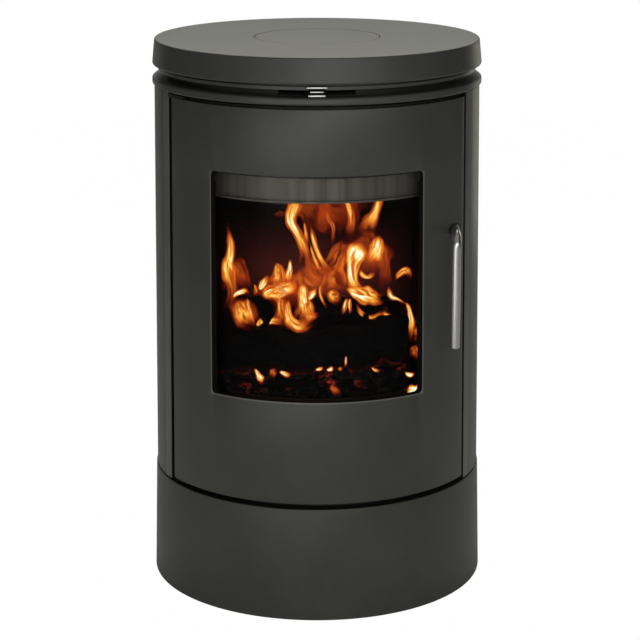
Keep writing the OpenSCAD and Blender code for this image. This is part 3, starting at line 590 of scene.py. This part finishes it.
# Paler paint for the casings' rolled edges, a painted highlight.
edge_highlight_iron = iron_paint("rolled_edge_highlight", lift=2.2)
black = dark_steel()
grate = cast_grate()
brick = fire_brick()
browned = heat_steel()
bright = stainless()
zinc = zinc_steel()
clear = ceramic_glass()
rope = rope_seal()
painted_shade = shade_black_steel()
char = charred_wood()
coals = ember()
FINISHES = {"iron_paint": iron, "dark_steel": black, "cast_grate": grate, "fire_brick": brick,
            "heat_steel": browned, "stainless": bright, "zinc_steel": zinc,
            "ceramic_glass": clear, "rope_seal": rope}
# Small parts painted black as shade: the glass clips, screws and seal, the hinge pins and the air slide.
SHADE_BLACKENED = ("glass_clips", "glass_screws", "glass_seal", "upper_hinge_pin", "lower_hinge_pin",
                  "air_slide")


def refinish(piece, finish, wanted):
    """Gives the faces that are wanted another finish."""
    piece.data.materials.append(finish)
    for face in piece.data.polygons:
        if wanted(face.center, face.normal):
            face.material_index = len(piece.data.materials) - 1


def dress_frame():
    """Gives every CAD node the finish of its material slot."""
    for row in frame["record"]["subparts"]:
        node = frame["nodes"][row["node"]]
        for slot in node.material_slots:
            slot.material = FINISHES[row["material_slot"]]
    # Painted shade: these parts are made black.
    for name in SHADE_BLACKENED:
        for slot in frame["nodes"][name].material_slots:
            slot.material = painted_shade


# ------------------------------------------------------------------ door and casings

def door_panel():
    """The curved door with its window, round corners and eased edges."""
    door = curved_sheet("door_skin", DOOR_LEFT, DOOR_RIGHT, DOOR_LOW, DOOR_HIGH,
                        rows=(WINDOW_LOW, WINDOW_HIGH))
    near = FACET / 4
    with editing(door):
        pick("FACE", lambda co, normal: WINDOW_LOW < co.z < WINDOW_HIGH
             and abs(turn_of(co)) < WINDOW_HALF)
        bpy.ops.mesh.delete(type="FACE")
        pick("VERT", lambda co: min(abs(co.z - WINDOW_LOW), abs(co.z - WINDOW_HIGH)) < 0.1 * MM
             and abs(abs(turn_of(co)) - WINDOW_HALF) < near)
        bpy.ops.mesh.bevel(offset=WINDOW_CORNER, segments=6, affect="VERTICES")
    modify(door, "SOLIDIFY", thickness=DOOR_FIRST_T, offset=-1.0)
    with editing(door):
        for z in (DOOR_LOW, WINDOW_LOW, WINDOW_HIGH, DOOR_HIGH):
            inner = body_r(z) - DOOR_FIRST_T
            pick("VERT", lambda co: abs(co.z - z) < WINDOW_CORNER + 2 * MM
                 and co.xy.length < body_r(co.z) - 6 * MM)
            grow = DOOR_INNER_R / inner
            bpy.ops.transform.resize(value=(grow, grow, 1), center_override=CENTRE)
    round_edges(door, 1.0 * MM)
    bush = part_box("handle_bush")
    hole_r = (bush[1].x - bush[0].x) / 2 + 0.1 * MM
    cutter = begin("hole", bpy.ops.mesh.primitive_cylinder_add, vertices=40, radius=hole_r, depth=0.12,
                   location=(BAR_X, BAR_Y + 0.05, SPINDLE_Z), rotation=(math.pi / 2, 0, 0))
    cut(door, cutter)
    done(door, "door", door_iron, ("door_panel",))

    def window_wall(at, normal):
        """The walls of the window's cut, which don't look along the stove's radius; they are painted black
        as shade.
        """
        facing_out = abs(normal.dot(Vector((at.x, at.y, 0)).normalized()))
        at_height = WINDOW_LOW - 1.2 * MM < at.z < WINDOW_HIGH + 1.2 * MM
        return facing_out < 0.3 and at_height and abs(turn_of(at)) < WINDOW_HALF + 0.2 * FACET

    # Painted shade: the walls of the window's cut are black.
    refinish(door, painted_shade, window_wall)
    return door


def side_casing(name, start, stop, front, shaded=0.0):
    """A side casing: a thin sheet whose front edge rolls inwards, with painted shade, black, on its face up
    to an angle.
    """
    sheet = curved_sheet(name, start, stop, CASING_LOW, CASING_HIGH)
    inwards = on_circle(1.0, front)
    with editing(sheet):
        for within, step in ROLL:
            pick("VERT", lambda co: abs(turn_of(co) - front) < within)
            bpy.ops.transform.translate(value=-inwards * step)
        pick("EDGE", lambda co: abs(turn_of(co) - front) < 0.002)
        bpy.ops.mesh.extrude_region_move(TRANSFORM_OT_translate={"value": -inwards * ROLL_DEEP})
        pick("EDGE", lambda co: abs(turn_of(co) - front) < 0.002
             and co.xy.length > BODY_TOP_R - 2 * MM and abs(co.z - (CASING_LOW + CASING_HIGH) / 2) < 1 * MM)
        bpy.ops.mesh.bevel(offset=ROLL_ROUND, segments=4, affect="EDGES")
        bpy.ops.mesh.select_all(action="SELECT")
        bpy.ops.mesh.normals_make_consistent(inside=False)
    modify(sheet, "SOLIDIFY", thickness=SKIN_T, offset=-1.0)
    round_edges(sheet, 0.4 * MM, segments=2, angle=60)
    done(sheet, "root", iron, (name.replace("_skin", ""),))
    across = Vector((math.cos(front), math.sin(front), 0))

    def highlight_strip(at, normal):
        return abs(turn_of(at) - front) < HIGHLIGHT_EDGE

    def black_face(at, normal):
        """The strip of the face painted black as shade, and the faces that look across the gap, painted
        black as its shade.
        """
        beside = abs(turn_of(at) - front)
        return beside < shaded or (beside < 0.03 and abs(normal.dot(across)) > 0.75)

    # Painted highlight: the paler paint along the rolled edge.
    refinish(sheet, edge_highlight_iron, highlight_strip)
    # Painted shade: black on the face beside the right door edge and on the faces that look across the gap.
    refinish(sheet, painted_shade, black_face)
    return sheet


def plinth():
    """The plinth: a wide ring that flares a little towards the floor, with a flat rim at its foot."""
    half = PLINTH_HIGH / 2
    shell = begin("plinth_skin", bpy.ops.mesh.primitive_cylinder_add, vertices=2 * FACETS,
                  radius=PLINTH_FOOT_R, depth=PLINTH_HIGH, location=(0, 0, half), end_fill_type="NOTHING")
    with editing(shell):
        pick("VERT", lambda co: co.z > half)
        grow = PLINTH_TOP_R / PLINTH_FOOT_R
        bpy.ops.transform.resize(value=(grow, grow, 1), center_override=CENTRE)
    modify(shell, "SOLIDIFY", thickness=PLINTH_T, offset=-1.0)
    with editing(shell):
        pick("VERT", lambda co: co.z < 1 * MM)
        bpy.ops.transform.resize(value=(1, 1, 0), center_override=CENTRE)
    round_edges(shell, 1.3 * MM, segments=4)
    return done(shell, "root", iron, ("plinth_shell",))


# ------------------------------------------------------------------ handle and air tab

def handle_bar():
    """The bent bar: drawn up, turned through its elbow and run back into the door."""
    elbow_z = SPINDLE_Z - BEND_R
    bar = begin("handle_bar", bpy.ops.mesh.primitive_cylinder_add, vertices=40, radius=BAR_R,
                depth=elbow_z - BAR_LOW, location=(BAR_X, BAR_Y, (elbow_z + BAR_LOW) / 2))
    spindle_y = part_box("latch_cam")[0].y
    with editing(bar):
        pick("FACE", lambda co, normal: normal.z < -0.9)
        bpy.ops.mesh.inset(thickness=BAR_CHAMFER)
        pick("VERT", lambda co: co.z < BAR_LOW + 1 * MM
             and math.hypot(co.x - BAR_X, co.y - BAR_Y) > BAR_R - 0.3 * MM)
        bpy.ops.transform.translate(value=(0, 0, BAR_CHAMFER))
        pick("FACE", lambda co, normal: normal.z > 0.9)
        bpy.ops.mesh.spin(steps=14, angle=math.pi / 2, center=(BAR_X, BAR_Y + BEND_R, elbow_z),
                          axis=(1, 0, 0))
        bpy.ops.mesh.extrude_region_move(
            TRANSFORM_OT_translate={"value": (0, spindle_y - BAR_Y - BEND_R, 0)})
        bpy.ops.mesh.extrude_region_move()
        thinner = SPINDLE_R / BAR_R
        bpy.ops.transform.resize(value=(thinner, 1, thinner),
                                 center_override=(BAR_X, spindle_y, SPINDLE_Z))
        bpy.ops.mesh.extrude_region_move(TRANSFORM_OT_translate={"value": (0, SPINDLE_END, 0)})
    return done(bar, "handle", bright, ("door_handle",))


def blade(name, width, near, far, z, thick):
    """A flat bar with eased edges, given by its width, its two distances from the middle and its foot."""
    piece = begin(name, bpy.ops.mesh.primitive_cube_add, size=1,
                  location=(0, -(near + far) / 2, z + thick / 2), scale=(width, far - near, thick))
    round_edges(piece, min(thick, far - near) * 0.32, segments=3)
    return piece


def air_tab():
    """The pull tab of the air slide: two bright blades on a back, a rib and a stem."""
    low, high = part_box("air_tab")
    wide = high.x - low.x
    far = -low.y
    back = far - 7.5 * MM
    top = high.z
    slot_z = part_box("air_slide")[1].z
    back_z = CROWN_TOP + 1.3 * MM
    parts = [
        blade("air_tab_pull", wide, back, far, top - 2.6 * MM, 2.6 * MM),
        blade("tab_foot", wide - 4 * MM, back, far, back_z, 2.8 * MM),
        blade("tab_back", wide - 4.4 * MM, back, back + 2.4 * MM, back_z + 0.4 * MM,
              top - back_z - 0.8 * MM),
        blade("tab_rib", wide * 2 / 3, back + 2.2 * MM, back + 4.6 * MM, back_z + 5 * MM, 2 * MM),
        blade("tab_stem", 14 * MM, 186 * MM, back + 1 * MM, slot_z, 2.4 * MM),
    ]
    tab = done(join(parts), "air_control", bright, ("air_tab",))
    # Painted shade: the front faces set back behind the pull blade are black.
    refinish(tab, painted_shade, lambda at, normal: normal.y < -0.5 and at.y > -(back + 2.6 * MM))
    return tab


# ------------------------------------------------------------------ fire

# Each log, in metres and radians: middle, half length, radius, turn about Z, tilt, and how far it
# sags left of its middle.
LOGS = [
    ((-0.006, -0.100, 0.350), 0.131, 0.029, 0.00, -0.03, 0.013),
    ((-0.074, -0.012, 0.386), 0.055, 0.022, 1.40, 0.10, 0.000),
    ((0.076, -0.012, 0.384), 0.055, 0.019, 1.70, 0.12, 0.000),
    ((0.000, 0.045, 0.352), 0.120, 0.033, 0.08, 0.02, 0.000),
    ((0.000, -0.040, 0.330), 0.118, 0.026, -0.06, 0.00, 0.000),
]
LOG_CUTS = 40
EMBERS = 90
EMBER_BOX = ((-0.132, -0.150), (0.132, 0.085))
EMBER_REACH = 0.176
HEARTH_FRONT = -0.095


def firewood():
    """Burnt logs stacked over the grate."""
    grain = bpy.data.textures.new("bark_lumps", "CLOUDS")
    grain.noise_scale = 0.03
    grain.noise_depth = 3
    for index, (middle, half, radius, turn, tilt, bow) in enumerate(LOGS):
        log = begin(f"fire_log_{index + 1}", bpy.ops.mesh.primitive_cylinder_add, vertices=40,
                    radius=radius, depth=2 * half, rotation=(0, math.pi / 2, 0))
        with editing(log):
            pick("FACE", lambda co, normal: abs(normal.x) > 0.9)
            bpy.ops.mesh.inset(thickness=radius * 0.25)
            bpy.ops.mesh.inset(thickness=radius * 0.35)
            pick("EDGE", lambda co: abs(co.x) < 0.001)
            bpy.ops.mesh.subdivide(number_cuts=LOG_CUTS)
            for step in range(-LOG_CUTS, LOG_CUTS + 1):
                x = step * half / LOG_CUTS
                pick("VERT", lambda co: abs(co.x - x) < half / (3 * LOG_CUTS))
                sag = -bow * math.cos(math.pi * (x + half * 0.45) / (1.4 * half))
                bpy.ops.transform.translate(value=(0, 0, sag))
            bpy.ops.mesh.select_all(action="SELECT")
            bpy.ops.mesh.quads_convert_to_tris()
        modify(log, "REMESH", mode="VOXEL", voxel_size=0.0028)
        modify(log, "DISPLACE", texture=grain, strength=0.016, mid_level=0.5, texture_coords="LOCAL")
        log.rotation_euler = (0, tilt, turn)
        log.location = middle
        done(log, "root", char, angle=80)


def ember_bed():
    """Glowing lumps under and round the logs, joined into one piece."""
    lumps = []
    (x0, y0), (x1, y1) = EMBER_BOX
    for index in range(EMBERS):
        radius = random.uniform(0.006, 0.013)
        turn = 0.150 + 0.05 * random.random()
        x = random.uniform(x0, x1)
        y = max(random.uniform(y0, y1), -math.sqrt(max(0.0, EMBER_REACH ** 2 - x * x)))
        z = HEARTH + radius * 0.45
        if y < HEARTH_FRONT:
            z = HEARTH_FOOT + radius * 0.6
        lump = begin("ember_bed", bpy.ops.mesh.primitive_ico_sphere_add, subdivisions=2, radius=radius,
                     location=(x, y, z), rotation=(random.random() * 3, random.random() * 3, turn))
        with editing(lump):
            bpy.ops.transform.vertex_random(offset=radius * 0.45, uniform=0.3, normal=0.3,
                                            seed=index + 1)
        lumps.append(lump)
    done(join(lumps), "root", coals, angle=50)


# Flames, as read in the photo and in its pixels: heat, then x, y and width along each flame.
TALL_FLAMES = [
    (0.74, [(225, 216, 2), (229, 232, 5), (231, 243, 7), (230, 256, 8), (228, 265, 10),
            (229.5, 276, 11), (232.5, 288, 8), (231, 300, 8), (226, 311, 9), (218, 323, 4)]),
    (0.85, [(299, 186, 10), (297, 200, 13), (292, 212, 12), (291, 222, 10), (297, 234, 8),
            (303, 246, 8), (306, 258, 10), (305, 270, 12), (303, 282, 9)]),
    (0.55, [(304, 220, 1), (306, 235, 4), (306, 252, 6)]),
    (0.90, [(303, 279, 5), (303, 297, 9), (305, 312, 16), (300, 328, 18)]),
    (0.62, [(304, 318, 9), (312, 316, 7), (321, 311, 3)]),
    (0.66, [(310, 221, 1), (313, 235, 4), (317, 250, 4), (323, 263, 5), (333, 272, 7), (346, 276, 7)]),
    (0.58, [(309, 240, 1), (314, 256, 3), (319, 270, 3), (323, 283, 2)]),
    (1.00, [(369, 238, 9), (360, 246, 20), (354, 256, 18), (352, 268, 10), (353, 280, 9), (358, 289, 9),
            (367, 293, 8), (378, 297, 5)]),
    (0.62, [(380, 186, 6), (379, 199, 7), (376, 212, 8), (370, 223, 14), (366, 234, 17), (362, 246, 18)]),
    (0.78, [(379, 233, 5), (378, 246, 11), (374, 260, 12), (371, 270, 4)]),
    (0.70, [(359, 266, 3), (362, 275, 4), (369, 277, 4), (374, 272, 4), (378, 261, 3)]),
    (0.66, [(334, 190, 4), (344, 199, 4), (350, 211, 6), (351, 222, 7), (349, 233, 9), (353, 243, 12)]),
    (0.50, [(325, 206, 1), (328, 218, 3), (333, 228, 3), (332, 241, 3), (332, 250, 1)]),
]
LOW_FLAMES = [
    (0.98, [(290, 257, 1), (290, 268, 4), (288, 278, 7), (290, 287, 9)]),
    (1.00, [(275, 299, 3), (283, 293, 6), (292, 288, 10), (303, 283, 7)]),
    (1.00, [(259, 291, 2), (264, 283, 6), (270, 272, 1)]),
    (0.72, [(275, 261, 1), (279, 270, 10), (278, 282, 16), (270, 297, 20)]),
    (0.55, [(254, 283, 1), (256, 290, 3), (253, 298, 3)]),
    (0.60, [(239, 296, 14), (243, 309, 17), (248, 321, 16), (255, 331, 8)]),
    (0.85, [(247, 296, 1.5), (249, 307, 3), (252, 319, 3.5), (258, 330, 2)]),
    (0.95, [(231, 299, 1.5), (238, 293, 4), (246, 291, 4.5), (249, 298, 2)]),
    (0.90, [(258, 330, 2), (263, 325, 5), (271, 321, 6), (280, 322, 6), (286, 327, 3)]),
    (0.92, [(285, 298, 2), (287, 311, 5), (291, 321, 8), (299, 326, 10), (309, 321, 10), (322, 311, 3)]),
    (1.00, [(272, 290, 4), (281, 288, 10), (292, 287, 12), (304, 282, 8)]),
    (0.75, [(262, 300, 5), (271, 293, 12), (282, 294, 14), (294, 296, 10)]),
    (0.95, [(256, 329, 4), (262, 323, 7), (270, 321, 5), (275, 320, 1)]),
    (0.60, [(281, 296, 7), (281, 311, 9), (277, 329, 14)]),
    (0.85, [(288, 297, 3), (288, 311, 5), (290, 323, 8), (299, 328, 9)]),
    (1.00, [(308, 301, 1), (313, 294, 5), (319, 286, 1)]),
    (0.60, [(321, 281, 2), (320, 293, 3), (324, 304, 2), (330, 312, 1)]),
    (0.95, [(343, 288, 3), (354, 291, 8), (366, 296, 13), (381, 300, 8), (386, 302, 1)]),
    (0.60, [(356, 300, 2), (360, 311, 4), (368, 317, 4), (378, 315, 4), (384, 309, 5), (384, 300, 3)]),
    (0.70, [(382, 311, 3), (391, 317, 4), (404, 323, 1)]),
    (0.72, [(395, 282, 1), (399, 274, 5), (406, 270, 6), (410, 275, 5), (410, 283, 1)]),
    (0.80, [(388, 283, 2), (391, 295, 5), (398, 299, 2), (404, 303, 2), (408, 309, 3)]),
    (0.90, [(404, 300, 1), (408, 306, 3), (410, 314, 4), (411, 325, 7), (410, 336, 6), (408, 346, 2)]),
    (0.70, [(423, 318, 2), (421, 327, 7), (417, 335, 9), (411, 343, 4)]),
    (0.80, [(347, 297, 2), (345, 307, 4), (341, 317, 1)]),
    (0.80, [(350, 297, 2), (350, 307, 3), (350, 317, 1)]),
    (0.62, [(331, 288, 5), (334, 297, 10), (342, 304, 4)]),
]
SHEETS = [
    (0.42, [(238, 254, 3), (241, 268, 13), (241, 282, 17), (239, 293, 17)]),
    (0.50, [(352, 232, 20), (362, 244, 30), (368, 258, 34), (368, 274, 30), (364, 292, 22)]),
    (0.50, [(300, 262, 10), (310, 276, 22), (322, 286, 30), (330, 296, 24)]),
    (0.42, [(228, 262, 12), (234, 276, 20), (238, 292, 22)]),
    (0.45, [(278, 268, 8), (282, 282, 24), (282, 298, 32), (284, 314, 26)]),
    (0.36, [(323, 184, 19), (328, 195, 25), (338, 206, 38), (348, 218, 40), (350, 232, 26)]),
    (0.38, [(287, 194, 13), (297, 201, 19), (312, 208, 23), (322, 224, 20), (331, 238, 8)]),
    (0.36, [(327, 183, 23), (330, 200, 26), (336, 213, 34), (342, 228, 26), (346, 240, 12)]),
    (0.52, [(345, 238, 8), (340, 252, 15), (333, 266, 16), (330, 276, 8)]),
    (0.58, [(326, 266, 8), (334, 276, 20), (338, 288, 22), (341, 298, 12)]),
    (0.62, [(350, 246, 8), (346, 262, 14), (343, 276, 18), (346, 290, 14)]),
    (0.34, [(381, 252, 3), (384, 266, 10), (385, 282, 12), (382, 298, 8)]),
    (0.45, [(309, 250, 6), (312, 266, 12), (314, 282, 14), (313, 298, 12)]),
    (0.45, [(266, 280, 8), (268, 292, 16), (266, 300, 14)]),
    (0.40, [(296, 266, 8), (293, 280, 16), (290, 296, 22), (290, 316, 24)]),
    (0.30, [(277, 211, 4), (279, 214, 7), (278, 218, 2)]),
    (0.30, [(214, 259, 4), (214, 264, 4), (213, 268, 1)]),
]
LICKS = [
    (1.00, [(254, 367, 1), (258, 374, 4), (262, 380, 7), (266, 381, 1)]),
    (1.00, [(278, 371, 1), (284, 373, 4), (288, 374, 4), (292, 371, 1)]),
    (1.00, [(315, 370, 1), (320, 369, 3), (325, 367, 1)]),
    (1.00, [(326, 370, 1), (331, 369, 4), (335, 367, 1)]),
    (0.80, [(346, 355, 1), (346, 362, 2), (345, 369, 1)]),
    (0.75, [(371, 367, 1), (376, 370, 3), (381, 372, 1)]),
    (1.00, [(404, 371, 1), (409, 375, 4), (413, 374, 3), (416, 371, 1)]),
    (1.00, [(405, 391, 5), (411, 391, 9), (417, 389, 7), (421, 383, 3), (421, 375, 1)]),
    (0.45, [(270, 369, 3), (273, 373, 6), (271, 379, 3)]),
    (0.40, [(338, 367, 4), (341, 369, 4), (343, 370, 1)]),
    (0.35, [(330, 384, 3), (336, 390, 7), (342, 396, 3)]),
    (0.40, [(411, 345, 5), (416, 352, 9), (415, 362, 7)]),
]

# A ribbon is wider than the flame that was read, because its rims are clear, and it is cupped.
FLAME_SPREAD = 1.8
FLAME_CUP = 0.7

# The upright planes across the stove that the flames stand on
SHEET_PLANE = -46 * MM
TALL_PLANE = -60 * MM
LOW_PLANE = -68 * MM
LICK_PLANE = -134 * MM


def from_photo(x, y, width, plane):
    """Where a point of the photo lies on an upright plane, and how wide a width in pixels is there."""
    turned = Euler((math.pi / 2 - VIEW_DOWN, 0, VIEW_ASIDE)).to_matrix()
    sight = turned @ Vector((x - PHOTO_PX / 2, PHOTO_PX / 2 - y, -FOCAL_PX))
    pixel = (plane - VIEW_PLACE.y) / sight.y
    place = VIEW_PLACE + sight * pixel
    return place.x, place.z, width * pixel


def along(path, share):
    """The place at a share of a smooth line that runs through a few places."""
    last = len(path) - 1
    index = min(int(share * last), last - 1)
    t = share * last - index
    four = [path[min(max(index + step, 0), last)] for step in (-1, 0, 1, 2)]
    return [b + t * (c - a) / 2 + t * t * (2 * a - 5 * b + 4 * c - d) / 2
            + t * t * t * (3 * b - a - 3 * c + d) / 2 for a, b, c, d in zip(*four)]


def flame_ribbon(name, plane, heat, path):
    """A ribbon of fire, hollow towards the back, that follows its path."""
    line = [from_photo(x, y, width, plane) for x, y, width in path]
    ribbon = begin(name, bpy.ops.mesh.primitive_grid_add, x_subdivisions=6,
                   y_subdivisions=9 * (len(path) - 1), size=1)
    ribbon.data.uv_layers[0].name = "ribbon"
    warmth = ribbon.data.attributes.new("burn_level", "FLOAT", "POINT")
    for vert in ribbon.data.vertices:
        across, share = vert.co.x, vert.co.y + 0.5
        x, z, width = along(line, share)
        ahead = along(line, min(share + 0.02, 1))
        behind = along(line, max(share - 0.02, 0))
        run = Vector((ahead[0] - behind[0], ahead[1] - behind[1])).normalized()
        taper = min(1.0, (share + 0.02) / 0.22) ** 0.8 * min(1.0, (1.04 - share) / 0.12) ** 0.5
        out = across * width * FLAME_SPREAD * taper
        cup = (0.25 - across * across) * width * FLAME_CUP
        vert.co = Vector((x + out * run.y, plane - cup, z - out * run.x))
        warmth.data[vert.index].value = heat
    return ribbon


def flames():
    """The fire, in four joined layers from back to front."""
    thin, full = flame("flame_sheet", 0.65), flame("flame_tongue", 0.0)
    layers = (("flames_sheet", SHEETS, SHEET_PLANE, thin), ("flames_tall", TALL_FLAMES, TALL_PLANE, full),
              ("flames_low", LOW_FLAMES, LOW_PLANE, full), ("flames_foot", LICKS, LICK_PLANE, full))
    for name, rows, plane, finish in layers:
        joined = join([flame_ribbon(name, plane, *row) for row in rows])
        only(joined)
        bpy.ops.object.shade_smooth()
        joined.data.materials.append(finish)
        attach(joined, "root")


# ------------------------------------------------------------------ studio

ROOM_LIGHT = 0.02


def studio():
    """Pale floor, a white wall far behind and a white surround."""
    floor = begin("studio_floor", bpy.ops.mesh.primitive_plane_add, size=30, location=(0, 0, FLOOR))
    floor.data.materials.append(white_ground("studio_floor", (1, 1, 1), 0.995, 0.09, 0.70))
    wall = begin("studio_wall", bpy.ops.mesh.primitive_plane_add, size=3.2, location=(0, 4.2, 1.6),
                 rotation=(math.pi / 2, 0, 0))
    wall.data.materials.append(white_ground("studio_wall", (1, 1, 1), 1.0, 0.45, 0.0))

    world = bpy.data.worlds.new("studio")
    bpy.context.scene.world = world
    world.use_nodes = True
    tree = world.node_tree
    tree.nodes.clear()
    ray = tree.nodes.new("ShaderNodeLightPath")
    seen = tree.nodes.new("ShaderNodeMath")
    seen.operation = "MAXIMUM"
    tree.links.new(ray.outputs["Is Camera Ray"], seen.inputs[0])
    tree.links.new(ray.outputs["Is Transmission Ray"], seen.inputs[1])
    dim = tree.nodes.new("ShaderNodeBackground")
    dim.inputs["Color"].default_value = (1, 1, 1, 1)
    dim.inputs["Strength"].default_value = ROOM_LIGHT
    white = tree.nodes.new("ShaderNodeBackground")
    white.inputs["Color"].default_value = (1, 1, 1, 1)
    white.inputs["Strength"].default_value = 1.0
    both = tree.nodes.new("ShaderNodeMixShader")
    end = tree.nodes.new("ShaderNodeOutputWorld")
    tree.links.new(seen.outputs[0], both.inputs[0])
    tree.links.new(dim.outputs[0], both.inputs[1])
    tree.links.new(white.outputs[0], both.inputs[2])
    tree.links.new(both.outputs[0], end.inputs["Surface"])


def lamp(name, place, aim, size, power, colour=(1.0, 1.0, 1.0)):
    """A soft rectangular light that looks at a point."""
    bpy.ops.object.light_add(type="AREA", location=place)
    light = bpy.context.object
    light.name = name
    light.data.shape = "RECTANGLE"
    light.data.size, light.data.size_y = size
    light.data.energy = power
    light.data.color = colour
    light.rotation_euler = (Vector(aim) - Vector(place)).to_track_quat("-Z", "Y").to_euler()
    light.visible_camera = False
    return light


def lights():
    """Ten soft lamps, most of them in front; the one over the back and the two rims are warm."""
    middle = (0, 0, 0.45)
    warm = (1.0, 0.98, 0.84)
    lamp("front_left", (-1.93, -2.3, 1.3), middle, (0.8, 0.9), 1.2)
    lamp("front_middle", (0.0, -3.0, 1.3), middle, (0.9, 0.9), 7.4)
    lamp("front_right", (1.03, -2.82, 1.3), middle, (0.8, 0.9), 7.6)
    lamp("far_right", (1.93, -2.3, 1.3), middle, (0.8, 0.9), 3.6)
    lamp("low_left", (-1.3, -2.7, 0.3), middle, (1.7, 0.7), 8.0)
    lamp("low_middle", (0.0, -3.0, 0.55), middle, (1.0, 0.5), 4.2)
    lamp("over_front", (0.0, -0.4, 2.5), middle, (4.6, 3.0), 9.0)
    lamp("top_back", (0.0, 1.6, 2.2), middle, (1.8, 0.8), 22.5, warm)
    lamp("left_rim", (-1.5, 2.2, 0.5), middle, (0.4, 1.6), 1.2, warm)
    lamp("right_rim", (1.5, 2.2, 0.5), middle, (0.4, 1.6), 4.4, warm)


def camera():
    """The photograph's view: nearly 3 m in front, a little above the stove and looking down."""
    bpy.ops.object.camera_add(location=VIEW_PLACE, rotation=(math.pi / 2 - VIEW_DOWN, 0, VIEW_ASIDE))
    view = bpy.context.object
    view.name = "photo_view"
    view.data.sensor_width = 36.0
    view.data.lens = FOCAL_PX / PHOTO_PX * view.data.sensor_width
    bpy.context.scene.camera = view


def build():
    """The stove, its fire and the studio round it."""
    dress_frame()
    door_panel()
    side_casing("side_casing_left_skin", -CASING_REAR, CASING_LEFT, CASING_LEFT)
    side_casing("side_casing_right_skin", CASING_RIGHT, CASING_REAR, CASING_RIGHT, GAP_SHADE)
    plinth()
    handle_bar()
    air_tab()
    firewood()
    ember_bed()
    flames()
    studio()
    lights()
    camera()


build()
bpy.context.scene.view_settings.view_transform = "Standard"
